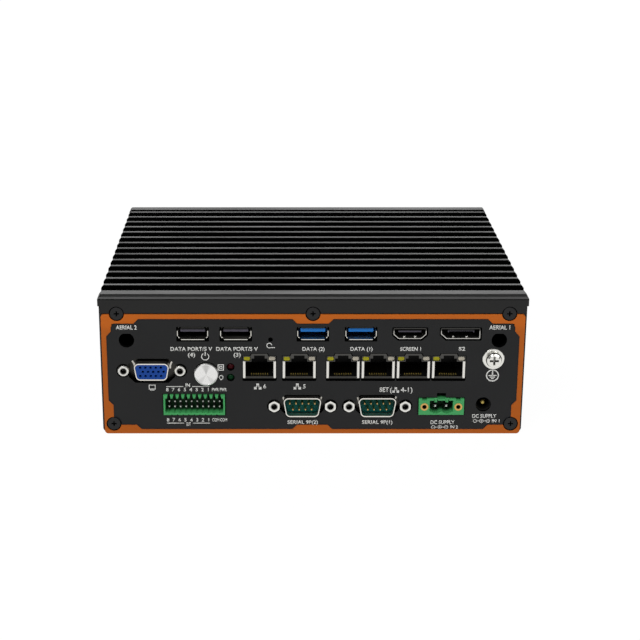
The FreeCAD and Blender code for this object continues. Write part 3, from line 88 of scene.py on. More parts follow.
# ---- materials -----------------------------------------------------------------------------------
def surface(name, colour, rough, metal=0.0, vary=0.12, grain=2600.0, bump=0.08, depth=0.03, spec=0.5,
            coat=0.0, rough_vary=0.08, patch=60.0, stretch=(1, 1, 1)):
    """Painted, moulded or plated surface: fine grain in relief, patchy colour and roughness."""
    mat = bpy.data.materials.new(name)
    mat.use_nodes = True
    tree = mat.node_tree
    nodes, links = tree.nodes, tree.links
    shader = nodes["Principled BSDF"]
    shader.inputs["Metallic"].default_value = metal
    shader.inputs["Specular IOR Level"].default_value = spec
    shader.inputs["Coat Weight"].default_value = coat
    where = nodes.new("ShaderNodeTexCoord")
    drawn = nodes.new("ShaderNodeMapping")
    drawn.inputs["Scale"].default_value = stretch
    links.new(where.outputs["Object"], drawn.inputs["Vector"])
    fine = nodes.new("ShaderNodeTexNoise")
    fine.inputs["Scale"].default_value = grain
    fine.inputs["Detail"].default_value = 3.0
    broad = nodes.new("ShaderNodeTexNoise")
    broad.inputs["Scale"].default_value = patch
    broad.inputs["Detail"].default_value = 4.0
    ramp = nodes.new("ShaderNodeValToRGB")
    low = [c * (1 - vary) for c in colour]
    high = [min(1.0, c * (1 + vary)) for c in colour]
    ramp.color_ramp.elements[0].position = 0.3
    ramp.color_ramp.elements[0].color = (*low, 1)
    ramp.color_ramp.elements[1].position = 0.7
    ramp.color_ramp.elements[1].color = (*high, 1)
    mix = nodes.new("ShaderNodeMath")
    mix.operation = "MULTIPLY_ADD"
    mix.inputs[1].default_value = 0.5
    half = nodes.new("ShaderNodeMath")
    half.operation = "MULTIPLY"
    half.inputs[1].default_value = 0.5
    spread = nodes.new("ShaderNodeMapRange")
    spread.inputs["From Min"].default_value = 0.3
    spread.inputs["From Max"].default_value = 0.7
    spread.inputs["To Min"].default_value = max(0.02, rough - rough_vary)
    spread.inputs["To Max"].default_value = min(1.0, rough + rough_vary)
    relief = nodes.new("ShaderNodeBump")
    relief.inputs["Strength"].default_value = bump
    relief.inputs["Distance"].default_value = depth * MM
    for noise in (fine, broad):
        links.new(drawn.outputs["Vector"], noise.inputs["Vector"])
    links.new(broad.outputs["Fac"], half.inputs[0])
    links.new(fine.outputs["Fac"], mix.inputs[0])
    links.new(half.outputs[0], mix.inputs[2])
    links.new(mix.outputs[0], ramp.inputs["Fac"])
    links.new(ramp.outputs["Color"], shader.inputs["Base Color"])
    links.new(broad.outputs["Fac"], spread.inputs["Value"])
    links.new(spread.outputs["Result"], shader.inputs["Roughness"])
    links.new(fine.outputs["Fac"], relief.inputs["Height"])
    links.new(relief.outputs["Normal"], shader.inputs["Normal"])
    return mat


MATS = {
    "anodised": surface("black_anodised", (0.0085, 0.0085, 0.0082), 0.42, vary=0.15, grain=4200, bump=0.12,
                        depth=0.05, spec=0.32, stretch=(0.25, 1, 1)),
    "steel": surface("black_powder_coat", (0.012, 0.012, 0.0125), 0.5, vary=0.12, grain=3200, bump=0.2,
                     depth=0.06, spec=0.3),
    "orange": surface("orange_anodised", (0.62, 0.14, 0.008), 0.45, vary=0.06, grain=4200, bump=0.1,
                      depth=0.04, spec=0.3),
    "film": surface("printed_film", (0.0135, 0.0137, 0.0142), 0.55, vary=0.1, grain=5200, bump=0.1,
                    depth=0.02, spec=0.25),
    "edge": surface("film_edge_print", (0.004, 0.012, 0.022), 0.5, vary=0.1, grain=3000, bump=0.05,
                    spec=0.25),
    "screw": surface("black_oxide", (0.011, 0.011, 0.0115), 0.4, vary=0.2, grain=3000, bump=0.1, spec=0.32),
    # the same black oxide as the end-plate screws, kept apart so that it carries no painted shade in its
    # recesses
    "side_screw": surface("black_oxide_side", (0.011, 0.011, 0.0115), 0.4, vary=0.2, grain=3000, bump=0.1,
                          spec=0.32),
    "nickel": surface("nickel_plate", (0.86, 0.85, 0.8), 0.22, metal=1.0, vary=0.05, grain=2500, bump=0.04),
    "stud": surface("plated_stud", (0.8, 0.78, 0.7), 0.3, metal=1.0, vary=0.06, grain=2500, bump=0.04),
    "jackscrew": surface("jackscrew_nickel", (0.88, 0.87, 0.82), 0.26, metal=1.0, vary=0.05, grain=2500,
                         bump=0.04),
    "pin": surface("bright_tin_pin", (0.9, 0.9, 0.86), 0.5, metal=0.3, vary=0.06, grain=2500, bump=0.03),
    # tin, shell, mouth and wide are near copies of one tin plate, kept apart to carry different painted light
    # and shade
    "tin": surface("tin_plate", (0.88, 0.85, 0.78), 0.3, metal=1.0, vary=0.06, grain=1800, bump=0.05),
    "shell": surface("port_shell", (0.85, 0.83, 0.78), 0.3, metal=1.0, vary=0.06, grain=1800, bump=0.05),
    "mouth": surface("data_port_plate", (0.85, 0.83, 0.76), 0.3, metal=1.0, vary=0.06, grain=1800, bump=0.05),
    "wide": surface("wide_port_plate", (0.85, 0.83, 0.78), 0.3, metal=1.0, vary=0.06, grain=1800, bump=0.05),
    "gold": surface("gold_plate", (0.9, 0.6, 0.24), 0.28, metal=1.0, vary=0.06, grain=2500, bump=0.03),
    "contact": surface("worn_gold_contact", (0.55, 0.42, 0.12), 0.45, metal=1.0, vary=0.15, grain=2500,
                       bump=0.03),
    "brass": surface("turned_brass", (0.93, 0.57, 0.18), 0.3, metal=1.0, vary=0.08, grain=2500, bump=0.04),
    "blue": surface("blue_moulding", (0.005, 0.06, 0.33), 0.4, vary=0.08, grain=2500, bump=0.06, spec=0.3),
    "sky": surface("bright_blue_moulding", (0.012, 0.19, 0.62), 0.4, vary=0.08, grain=2500, bump=0.06,
                   spec=0.3),
    "teal": surface("teal_moulding", (0.001, 0.1, 0.088), 0.42, vary=0.1, grain=2500, bump=0.06, spec=0.15),
    "black": surface("black_moulding", (0.006, 0.006, 0.006), 0.42, vary=0.15, grain=2600, bump=0.08,
                     spec=0.2),
    "tongue": surface("grey_moulding", (0.045, 0.04, 0.055), 0.42, vary=0.15, grain=2600, bump=0.08,
                      spec=0.3),
    "green": surface("green_moulding", (0.07, 0.42, 0.13), 0.42, vary=0.08, grain=2600, bump=0.08, spec=0.3),
    "light_green": surface("light_green_moulding", (0.075, 0.43, 0.14), 0.42, vary=0.08, grain=2600,
                           bump=0.08, spec=0.3),
    "board": surface("solder_mask", (0.006, 0.06, 0.022), 0.3, vary=0.2, grain=900, bump=0.1, depth=0.08),
    "chip": surface("chip_package", (0.02, 0.02, 0.022), 0.5, vary=0.15),
    "pad": surface("thermal_pad", (0.3, 0.3, 0.33), 0.8, vary=0.08),
    "copper": surface("milled_copper", (0.72, 0.34, 0.2), 0.3, metal=1.0, vary=0.08, grain=1500),
    "amber": surface("amber_pipe", (0.38, 0.35, 0.003), 0.3, vary=0.25, grain=1500, coat=0.2, patch=700,
                     spec=0.2),
    "clear": surface("frosted_pipe", (0.5, 0.46, 0.37), 0.3, vary=0.2, grain=1500, coat=0.2, patch=700,
                     spec=0.2),
    "red_led": surface("red_lens", (0.04, 0.001, 0.003), 0.3, vary=0.25, grain=1200, bump=0.02, patch=500,
                       spec=0.1),
    "green_led": surface("green_lens", (0.0005, 0.032, 0.008), 0.3, vary=0.25, grain=1200, bump=0.02,
                         patch=500, spec=0.1),
    "spun": surface("spun_metal", (0.86, 0.855, 0.84), 0.3, metal=1.0, vary=0.04, grain=1500, bump=0.05),
    "ink": surface("legend_ink", (0.86, 0.86, 0.83), 0.55, vary=0.05, grain=5000, bump=0.03, spec=0.2),
}

DRESS = {
    "anodised": ["heat_sink", "rear_panel"],
    "steel": ["chassis_tray"],
    "orange": ["front_panel"],
    "film": ["panel_overlay"],
    "screw": ["front_screws", "rear_screws"],
    "side_screw": ["side_screws", "bottom_screws"],
    "nickel": ["ground_screw", "ground_washer"],
    "stud": ["board_standoffs"],
    "jackscrew": ["port_jackscrews"],
    "pin": ["terminal_pins"],
    "spun": ["power_button"],
    "black": ["power_switch", "reset_switch", "reset_plunger", "dc_jack"]
             + ["network_jack_insert_%d" % i for i in range(1, 7)],
    "tongue": ["data_port_tongues_black", "av_port_tongue", "display_port_tongue"],
    "board": ["control_board", "mainboard", "network_board", "power_board", "memory_module", "storage_card"],
    "red_led": ["status_led_red"],
    "green_led": ["status_led_green"],
    "shell": ["network_jack_shells"],
    "mouth": ["data_port_shell_%d" % i for i in range(1, 5)],
    "wide": ["av_port_shell", "display_port_shell"],
    "tin": ["video_port_shell", "serial_port_shell_1", "serial_port_shell_2"],
    "blue": ["video_port_insert"],
    "sky": ["data_port_tongues_blue"],
    "teal": ["serial_port_inserts"],
    "gold": ["serial_port_pins"],
    "contact": ["dc_jack_pin", "network_jack_contacts"],
    "brass": ["terminal_nuts"],
    "green": ["io_terminal"],
    "light_green": ["dc_terminal"],
    "amber": ["link_light_pipes"],
    "clear": ["activity_light_pipes"],
    "chip": ["processor"],
    "pad": ["thermal_pad"],
    "copper": ["heat_block"],
}


# ---- painted light and shade, and the plate's two colours, laid over a material -------------------
class Pattern:
    """Small arithmetic on the object's own coordinates, in millimetres, inside one material."""

    def __init__(self, mat):
        self.tree = mat.node_tree
        self.shader = self.tree.nodes["Principled BSDF"]
        where = self.tree.nodes.new("ShaderNodeTexCoord")
        axes = self.tree.nodes.new("ShaderNodeSeparateXYZ")
        self.tree.links.new(where.outputs["Object"], axes.inputs[0])
        self.x, self.y, self.z = [self.math("DIVIDE", axes.outputs[name], MM) for name in "XYZ"]

    def math(self, kind, first, second=None):
        node = self.tree.nodes.new("ShaderNodeMath")
        node.operation = kind
        for socket, value in zip(node.inputs, (first, second)):
            if isinstance(value, (int, float)):
                socket.default_value = value
            elif value is not None:
                self.tree.links.new(value, socket)
        return node.outputs[0]

    def span(self, value, low, high):
        """1 where the value lies between low and high."""
        return self.math("MULTIPLY", self.math("GREATER_THAN", value, low),
                         self.math("LESS_THAN", value, high))

    def fade(self, value, start, end, at_start, at_end):
        """Smooth change of a number along a value."""
        node = self.tree.nodes.new("ShaderNodeMapRange")
        node.interpolation_type = "SMOOTHSTEP"
        self.tree.links.new(value, node.inputs["Value"])
        node.inputs["From Min"].default_value = start
        node.inputs["From Max"].default_value = end
        node.inputs["To Min"].default_value = at_start
        node.inputs["To Max"].default_value = at_end
        return node.outputs["Result"]

    def paint(self, share, colour):
        """Lay a colour over the base colour by a share from 0 to 1."""
        mix = self.tree.nodes.new("ShaderNodeMix")
        mix.data_type = "RGBA"
        under = self.shader.inputs["Base Color"].links[0].from_socket
        self.tree.links.new(share, mix.inputs["Factor"])
        self.tree.links.new(under, mix.inputs["A"])
        mix.inputs["B"].default_value = (*colour, 1)
        self.tree.links.new(mix.outputs["Result"], self.shader.inputs["Base Color"])

    def near(self, x, z, radius):
        """1 within a radius of a place on the front."""
        across = self.math("SUBTRACT", self.x, x)
        up = self.math("SUBTRACT", self.z, z)
        reach = self.math("ADD", self.math("MULTIPLY", across, across), self.math("MULTIPLY", up, up))
        return self.math("LESS_THAN", reach, radius * radius)

    def any_of(self, shares):
        """The largest of several shares."""
        total = shares[0]
        for share in shares[1:]:
            total = self.math("MAXIMUM", total, share)
        return total

    def all_of(self, shares):
        """The product of several shares."""
        total = shares[0]
        for share in shares[1:]:
            total = self.math("MULTIPLY", total, share)
        return total

    def dull(self, share):
        """Take the gloss away by a share from 0 to 1."""
        gloss = self.shader.inputs["Specular IOR Level"]
        full = gloss.default_value
        self.tree.links.new(self.math("MULTIPLY", self.math("SUBTRACT", 1.0, share), full), gloss)

    def dim(self, level):
        """Multiply the base colour by a number."""
        scale = self.tree.nodes.new("ShaderNodeVectorMath")
        scale.operation = "SCALE"
        under = self.shader.inputs["Base Color"].links[0].from_socket
        self.tree.links.new(under, scale.inputs[0])
        self.tree.links.new(level, scale.inputs["Scale"])
        self.tree.links.new(scale.outputs[0], self.shader.inputs["Base Color"])


# black of the plate's field and openings, and of the painted shade in screw seats, film rings and screw
# recesses
BLACK = (0.002, 0.002, 0.0022)
# painted shade on the heat sink
PAINTED_SHADE_BLACK = (0.0008, 0.0008, 0.0008)
# painted highlight on the heat sink's bevelled rim
BEVEL_HIGHLIGHT_GREY = (0.085, 0.085, 0.085)
SEAT_R = 3.33                   # clearance round a front screw's head
SEAT_SHADE_EXTRA = 0.25               # the film's ring of painted shade is wider by this
BORDER = 4.6                    # width of the plate's orange border, at its sides
BORDER_LOW, BORDER_HIGH = 4.5, 4.4
RIM = 7.4                       # depth of the heat sink's front and back rims
BEVEL = 3.0                     # depth of the bevelled edge along a rim
TIP = 0.35                      # top of a fin that stays grey; below it the fin walls are painted shade


def seat_shadows(p):
    """1 inside the round seat of each front screw."""
    return p.any_of([p.near(place.x, place.z, SEAT_R) for place in FRONT_SCREWS])


def plate_black_inside():
    """The plate's border and its edges are orange; its field, openings and back are black. Painted shade: the
    screw seats are black, and the orange is darker below the top band of the border.
    """
    low, high = [[value / MM for value in corner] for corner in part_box("front_panel")]
    edge, film_back = 0.6, 0.22
    p = Pattern(MATS["orange"])
    across = p.math("ABSOLUTE", p.x)
    field = p.all_of([p.math("LESS_THAN", across, high[0] - BORDER),
                      p.span(p.z, low[2] + BORDER_LOW, high[2] - BORDER_HIGH)])
    walls = p.all_of([p.math("LESS_THAN", across, high[0] - edge),
                      p.span(p.z, low[2] + edge, high[2] - edge),
                      p.math("GREATER_THAN", p.y, FACE + film_back)])
    # painted light: the top band of the orange border is lighter than the orange below it
    p.dim(p.fade(p.z, high[2] - 8.0, high[2] - 4.5, 0.84, 1.0))
    # black field and openings, and painted shade in the screw seats
    black_and_seat_shade = p.any_of([field, walls, seat_shadows(p)])
    p.paint(black_and_seat_shade, BLACK)
    p.dull(black_and_seat_shade)


def heat_sink_shading():
    """Painted shade and light: fin walls painted black as shade, a painted highlight on a facet along the
    rim, a painted shadow line under it, painted shade in the screw seats.
    """
    top, front = SINK_HIGH.z, SINK_LOW.y
    facet_low, facet_high = top - 1.5, top - 0.72
    line_low, line_high = top - 1.95, top - 1.55
    p = Pattern(MATS["anodised"])
    fin_wall_shade = p.all_of([p.math("LESS_THAN", p.z, top - TIP), p.span(p.y, front + RIM, SINK_HIGH.y - RIM)])
    bevel = p.math("LESS_THAN", p.y, front + BEVEL)
    facet = p.all_of([bevel, p.span(p.z, facet_low, facet_high)])
    line = p.all_of([bevel, p.span(p.z, line_low, line_high)])
    seats = p.all_of([seat_shadows(p), bevel])
    # painted highlight on the lower facet of the rim's bevel
    p.paint(facet, BEVEL_HIGHLIGHT_GREY)
    # painted shade: fin walls, the shadow line under the facet and the screw seats
    p.paint(p.any_of([fin_wall_shade, line, seats]), PAINTED_SHADE_BLACK)
    fins = p.math("MULTIPLY", p.math("GREATER_THAN", p.y, front + RIM), 0.4)
    p.dull(p.any_of([fin_wall_shade, seats, fins, p.math("MULTIPLY", line, 0.7)]))


def film_round_screws():
    """Painted shade: a black ring on the film round each front screw, the shadow round its seat."""
    p = Pattern(MATS["film"])
    radius = SEAT_R + SEAT_SHADE_EXTRA
    p.paint(p.any_of([p.near(place.x, place.z, radius) for place in FRONT_SCREWS]), BLACK)


def screw_recesses():
    """Painted shade: the cross recess of each screw in the end plates is painted black."""
    p = Pattern(MATS["screw"])
    recess_shade = p.span(p.y, FACE + 0.4, -FACE - 0.2)
    p.paint(recess_shade, BLACK)
    p.dull(recess_shade)


def jackscrew_bores():
    """Painted shade: a jackscrew's face is bright at its edge and painted darker round and inside its thread,
    and darker with depth.
    """
    p = Pattern(MATS["jackscrew"])
    for radius, level in ((1.7, 0.45), (1.15, 0.25)):
        inside = p.any_of([p.near(place.x, place.z, radius) for place in JACKSCREWS])
        p.dim(p.fade(inside, 0, 1, 1.0, level))
    p.dim(p.fade(p.y, FACE - 0.6, FACE + 2.5, 1.0, 0.25))


def nut_bores():
    """Painted shade: the terminal's brass nuts darken inside, deeper into their bores."""
    p = Pattern(MATS["brass"])
    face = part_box("terminal_nuts")[0][1] / MM
    p.dim(p.fade(p.y, face + 0.15, face + 1.2, 0.75, 0.05))


def ground_cross():
    """Painted shade: the cross recess of the earth screw is darker than its head."""
    p = Pattern(MATS["nickel"])
    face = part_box("ground_screw")[0][1] / MM
    cross = p.all_of([p.near(GROUND.x, GROUND.z, 2.2), p.math("GREATER_THAN", p.y, face + 0.55)])
    p.dim(p.fade(cross, 0, 1, 1.0, 0.25))


def pin_tips():
    """Painted shade: the pins darken behind their tips, so only the tips of the terminals' pins are bright.
    """
    p = Pattern(MATS["pin"])
    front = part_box("terminal_pins")[0][1] / MM
    p.dim(p.fade(p.y, front + 0.3, front + 0.7, 1.0, 0.03))


def jack_shell_shading():
    """Only the side lips of the network sockets are bright; floor, rim and shoulders are in shade."""
    p = Pattern(MATS["shell"])
    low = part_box("network_jack_shells")[0][2] / MM
    lips = [p.math("GREATER_THAN", p.math("ABSOLUTE", p.math("SUBTRACT", p.x, jack.x)), 6.25)
            for jack in JACKS]
    lip = p.all_of(lips + [p.span(p.z, low + 0.75, low + 8.7)])
    p.dim(p.fade(lip, 0, 1, 0.1, 1.0))


def data_mouth_shading():
    """The flaps above and below each data port's mouth are in shade, with one light edge below."""
    p = Pattern(MATS["mouth"])
    z = middle("data_port_shell_1").z
    for start, end, at_start, at_end in ((2.35, 2.5, 1.0, 0.05), (-2.65, -2.45, 0.4, 1.0),
                                         (-2.95, -2.85, 2.2, 1.0)):
        p.dim(p.fade(p.z, z + start, z + end, at_start, at_end))


def wide_mouth_shading():
    """The upper edge of the two wide ports is in shade."""
    p = Pattern(MATS["wide"])
    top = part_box("av_port_shell")[1][2] / MM
    p.dim(p.fade(p.z, top - 1.6, top - 0.9, 0.75, 0.1))


def jack_ring_shading():
    """Lower half of the supply jack's mouth catches the light."""
    p = Pattern(MATS["black"])
    jack = middle("dc_jack")
    band = p.math("SUBTRACT", p.near(jack.x, jack.z, 3.6), p.near(jack.x, jack.z, 2.9))
    ring = p.all_of([band, p.math("LESS_THAN", p.z, jack.z - 0.4), p.math("LESS_THAN", p.y, FACE + 4.5)])
    p.paint(ring, (0.10, 0.085, 0.05))


def flange_shading():
    """The connector flanges stand behind the plate, in its shadow, with an arc of light each side."""
    p = Pattern(MATS["tin"])
    level = p.fade(p.y, FACE + 0.5, FACE + 3.0, 1.0, 0.05)
    arcs = []
    for place in JACKSCREWS:
        arc = p.math("SUBTRACT", p.near(place.x, place.z, 5.0), p.near(place.x, place.z, 4.3))
        arcs.append(p.all_of([arc, p.span(p.z, place.z - 0.5, place.z + 4.5)]))
    p.dim(p.math("MAXIMUM", level, p.math("MULTIPLY", p.any_of(arcs), 0.8)))


def darker_with_depth(key, start, end, deepest):
    """Painted shade: moulded and plated pieces darken towards the back of their cavities."""
    p = Pattern(MATS[key])
    p.dim(p.fade(p.y, FACE + start, FACE + end, 1.0, deepest))


def tongue_shading():
    """Only a narrow strip on the front of a black tongue catches the light."""
    p = Pattern(MATS["tongue"])
    low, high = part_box("data_port_tongues_black")
    front, top = low[1] / MM, high[2] / MM
    data = p.all_of([p.span(p.z, top - 1.7, top - 0.75), p.math("LESS_THAN", p.x, 0),
                     p.math("LESS_THAN", p.y, front + 0.4)])
    wide_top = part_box("av_port_tongue")[1][2] / MM
    wide = p.all_of([p.span(p.z, wide_top - 1.8, wide_top - 1.2), p.math("GREATER_THAN", p.x, 0)])
    p.dim(p.fade(p.any_of([data, wide]), 0, 1, 0.07, 1.6))


def turned_rays():
    """The turned face of the button: narrow rays of its turned grain; broad light and dark sectors and a
    brighter rim are painted reflections of the spun face.
    """
    p = Pattern(MATS["spun"])
    across = p.math("SUBTRACT", p.x, BUTTON.x)
    up = p.math("SUBTRACT", p.z, BUTTON.z)
    angle = p.math("ARCTAN2", across, up)
    folded = p.math("ABSOLUTE", angle)
    squares = [p.math("MULTIPLY", part, part) for part in (across, up)]
    radius = p.math("SQRT", p.math("ADD", *squares))
    # painted reflection: broad dark sectors at the top and lower sides of the button
    top = p.fade(folded, 0.12, 0.62, 0.66, 1.0)
    low = p.fade(p.math("ABSOLUTE", p.math("SUBTRACT", folded, 2.45)), 0.1, 0.42, 0.84, 1.0)
    rays = p.tree.nodes.new("ShaderNodeTexNoise")
    rays.noise_dimensions = "1D"
    rays.inputs["Detail"].default_value = 2.0
    p.tree.links.new(p.math("MULTIPLY", angle, 14.0), rays.inputs["W"])
    fine = p.fade(rays.outputs["Fac"], 0.3, 0.7, 0.98, 1.08)
    level = p.math("MULTIPLY", p.math("MULTIPLY", top, low), fine)
    # painted highlight: the outer rim is brighter
    rim = p.math("GREATER_THAN", radius, 4.55)
    p.dim(p.math("MAXIMUM", level, p.math("MULTIPLY", rim, 1.12)))


DEPTH_SHADE = (             # material, where the shade starts and ends behind the face, deepest level
    ("green", 0.2, 4.5, 0.12),
    ("light_green", 0.2, 4.5, 0.12),
    ("contact", 3.2, 4.2, 0.04),
    ("shell", 1.5, 6.0, 0.25),
    ("mouth", 1.6, 5.0, 0.1),
    ("wide", 1.6, 5.0, 0.3),
    ("tongue", 2.6, 4.0, 0.1),
    ("teal", 1.0, 4.0, 0.75),
)


def dress():
    """Lay the painted light and shade, and the plate's two colours, over the materials and give every node
    its material.
    """
    for shade in (plate_black_inside, heat_sink_shading, film_round_screws, screw_recesses,
                  jackscrew_bores, nut_bores, ground_cross, pin_tips, turned_rays, jack_shell_shading,
                  data_mouth_shading, wide_mouth_shading, jack_ring_shading, flange_shading,
                  tongue_shading):
        shade()
    for key, start, end, deepest in DEPTH_SHADE:
        darker_with_depth(key, start, end, deepest)
    for key, names in DRESS.items():
        for name in names:
            node = NODES[name]
            if not node.material_slots:
                node.data.materials.append(MATS[key])
            for slot in node.material_slots:
                slot.material = MATS[key]


# ---- printed marks -------------------------------------------------------------------------------
def settle(name, mesh):
    """Make a finished mesh a piece that rides on the casing."""
    piece = bpy.data.objects.new(name, mesh)
    bpy.context.scene.collection.objects.link(piece)
    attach(piece, "casing")
    return piece


class Print:
    """Flat marks on the film, gathered into one mesh with a little thickness."""

    def __init__(self):
        self.flat = bmesh.new()

    def polygon(self, points):
        corners = [self.flat.verts.new((x * MM, 0, z * MM)) for x, z in points]
        self.flat.faces.new(corners)

    def bar(self, x0, z0, x1, z1, width):
        along = Vector((x1 - x0, z1 - z0)).normalized()
        side = Vector((-along.y, along.x)) * width / 2
        self.polygon([(x0 + side.x, z0 + side.y), (x0 - side.x, z0 - side.y),
                      (x1 - side.x, z1 - side.y), (x1 + side.x, z1 + side.y)])

    def box(self, x, z, width, height):
        self.polygon([(x - width / 2, z - height / 2), (x + width / 2, z - height / 2),
                      (x + width / 2, z + height / 2), (x - width / 2, z + height / 2)])

    def frame(self, x, z, width, height, line):
        for side in (-1, 1):
            self.box(x + side * (width - line) / 2, z, line, height - 2 * line)
            self.box(x, z + side * (height - line) / 2, width, line)

    def arc(self, x, z, radius, line, start=0, end=360):
        """Ring or part of one, angles in degrees from the right, turning left."""
        steps = max(6, int(abs(end - start) / 12))
        for i in range(steps):
            a, b = [math.radians(start + (end - start) * k / steps) for k in (i, i + 1)]
            inner, outer = radius - line / 2, radius + line / 2
            self.polygon([(x + r * math.cos(t), z + r * math.sin(t))
                          for r, t in ((inner, a), (inner, b), (outer, b), (outer, a))])

    def disc(self, x, z, radius):
        self.polygon([(x + radius * math.cos(t), z + radius * math.sin(t))
                      for t in [math.radians(20 * i) for i in range(18)]])

    def words(self, text, x, z, height, width=None, bold=0.026):
        """Lettering centred on x and z, with capitals of the given height."""
        curve = bpy.data.curves.new(text, "FONT")
        curve.body = text
        curve.align_x = "CENTER"
        curve.offset = bold
        curve.resolution_u = 3
        holder = bpy.data.objects.new(text, curve)
        bpy.context.scene.collection.objects.link(holder)
        bpy.context.view_layer.update()
        mesh = bpy.data.meshes.new_from_object(holder.evaluated_get(bpy.context.evaluated_depsgraph_get()))
        bpy.data.objects.remove(holder)
        xs = [v.co.x for v in mesh.vertices]
        ys = [v.co.y for v in mesh.vertices]
        tall = height / CAPITAL
        wide = width / (max(xs) - min(xs)) if width else tall
        centre = (max(xs) + min(xs)) / 2
        base = min(0.0, min(ys)) if text.isalnum() else 0.0
        mesh.transform(Matrix(((wide * MM, 0, 0, (x - centre * wide) * MM), (0, 0, 0, 0),
                               (0, tall * MM, 0, (z - height / 2 - base * tall) * MM), (0, 0, 0, 1))))
        self.flat.from_mesh(mesh)
        bpy.data.meshes.remove(mesh)

    def piece(self, name):
        """Turn the flat faces to the front, give them thickness and settle them on the film."""
        bmesh.ops.remove_doubles(self.flat, verts=self.flat.verts, dist=1e-7)
        for face in self.flat.faces:
            face.normal_update()
            if face.normal.y > 0:
                face.normal_flip()
        grown = bmesh.ops.extrude_face_region(self.flat, geom=self.flat.faces[:], use_keep_orig=True)
        for item in grown["geom"]:
            if isinstance(item, bmesh.types.BMVert):
                item.co.y -= INK * MM
        for vert in self.flat.verts:
            vert.co.y += (FACE + INK_GAP) * MM
        bmesh.ops.recalc_face_normals(self.flat, faces=self.flat.faces[:])
        mesh = bpy.data.meshes.new(name)
        self.flat.to_mesh(mesh)
        self.flat.free()
        mesh.materials.append(MATS["ink"])
        return settle(name, mesh)


def port_numbers():
    """Plain words and numbers beside the ports of the upper half."""
    p = Print()
    aerial_x, aerial_z = 81.7, 50.4
    for side, number in ((-1, "2"), (1, "1")):
        p.words("AERIAL " + number, side * aerial_x, aerial_z, 1.85, 9.2)
    line = middle("data_port_shell_1").z - 6.35
    for number, shift in ((4, -0.65), (3, 0.5)):
        x = middle("data_port_shell_%d" % number).x + shift
        p.words("DATA PORT/5 V", x, line, 1.75, 18.4)
        p.words("(%d)" % number, x, line - 2.7, 1.75, 3.2)
    for number in (2, 1):
        p.words("DATA (%d)" % number, middle("data_port_shell_%d" % number).x + 0.3, line, 1.7, 9.8)
    p.words("SCREEN 1", middle("av_port_shell").x + 0.4, line, 1.7, 9.2)
    p.words("S2", middle("display_port_shell").x + 0.8, line, 1.7, 2.9)
    return p.piece("port_numbers")


def network_sign(p, x, z, size):
    """Three joined boxes, one above two."""
    box = size * 0.36
    p.box(x, z + size * 0.2, box, box)
    for side in (-1, 1):
        p.box(x + side * size * 0.32, z - size * 0.3, box, box)
        p.bar(x, z + size * 0.1, x + side * size * 0.3, z - size * 0.2, size * 0.1)


def network_numbers():
    """Signs and numbers under the network sockets."""
    p = Print()
    jack_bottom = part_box("network_jack_insert_1")[0][2] / MM
    for number in (6, 5):
        x = middle("network_jack_insert_%d" % number).x
        network_sign(p, x - 0.8, jack_bottom - 4.0, 3.3)
        p.words(str(number), x + 2.3, jack_bottom - 4.25, 1.9)
    x = (middle("network_jack_insert_3").x + middle("network_jack_insert_2").x) / 2
    line = jack_bottom - 5.8
    for text, shift, width in (("SET", -4.9, 4.2), ("(", -1.9, None), ("4-1", 4.2, 3.6), (")", 7.2, None)):
        p.words(text, x + shift, line, 2.1, width)
    network_sign(p, x + 0.2, line + 0.1, 3.0)
    return p.piece("network_numbers")


def channel_numbers():
    """Numbers, signs and bracket lines above and below the signal header."""
    p = Print()
    pitch = 2.6                 # between the header's ways
    ways = 8
    first = IO.x - 4.5 * pitch - 0.15
    for words, ends, z, group_z in (("IN", "PWR", 21.1, 23.2), ("OUT", "COM", 6.6, 4.55)):
        for i in range(ways):
            p.words(str(ways - i), first + i * pitch, z, 1.6)
        for i in (ways, ways + 1):
            p.words(ends, first + (i + 0.2 + 0.35 * (i - ways)) * pitch, z, 1.5, 3.1)
        centre = first + 3.5 * pitch
        p.words(words, centre, group_z, 1.7, 2.1)
        for side in (-1, 1):
            near = centre + side * 2.0
            far = centre + side * 9.6
            inward = -0.55 if z > IO.z else 0.55
            p.bar(near, group_z + inward, far, group_z + inward, 0.3)
    return p.piece("channel_numbers")


def polarity_sign(p, x, z):
    """Positive centre: two ringed signs joined to a ringed dot."""
    p.arc(x, z, 0.8, 0.24)
    p.disc(x, z, 0.35)
    for side, sign in ((-1, "-"), (1, "+")):
        p.arc(x + side * 2.9, z, 0.75, 0.24)
        p.bar(x + side * 2.15, z, x + side * 0.8, z, 0.24)
        p.words(sign, x + side * 2.9, z, 0.9)


def serial_numbers():
    """Words under the serial connectors, the supply terminal and the supply jack."""
    p = Print()
    for number in (2, 1):
        x = middle("serial_port_shell_%d" % number).x
        p.words("SERIAL 9P(%d)" % number, x + 0.2, 5.55, 1.65, 13.6)
    for number, x, z in ((2, DC.x + 0.9, 5.5), (1, middle("dc_jack").x + 0.7, 8.5)):
        p.words("DC SUPPLY", x, z, 1.75, 10.8)
        polarity_sign(p, x - 1.2, z - 2.35)
        p.words("IN %d" % number, x + 5.2, z - 2.35, 1.5, 3.4)
    return p.piece("supply_and_serial_numbers")


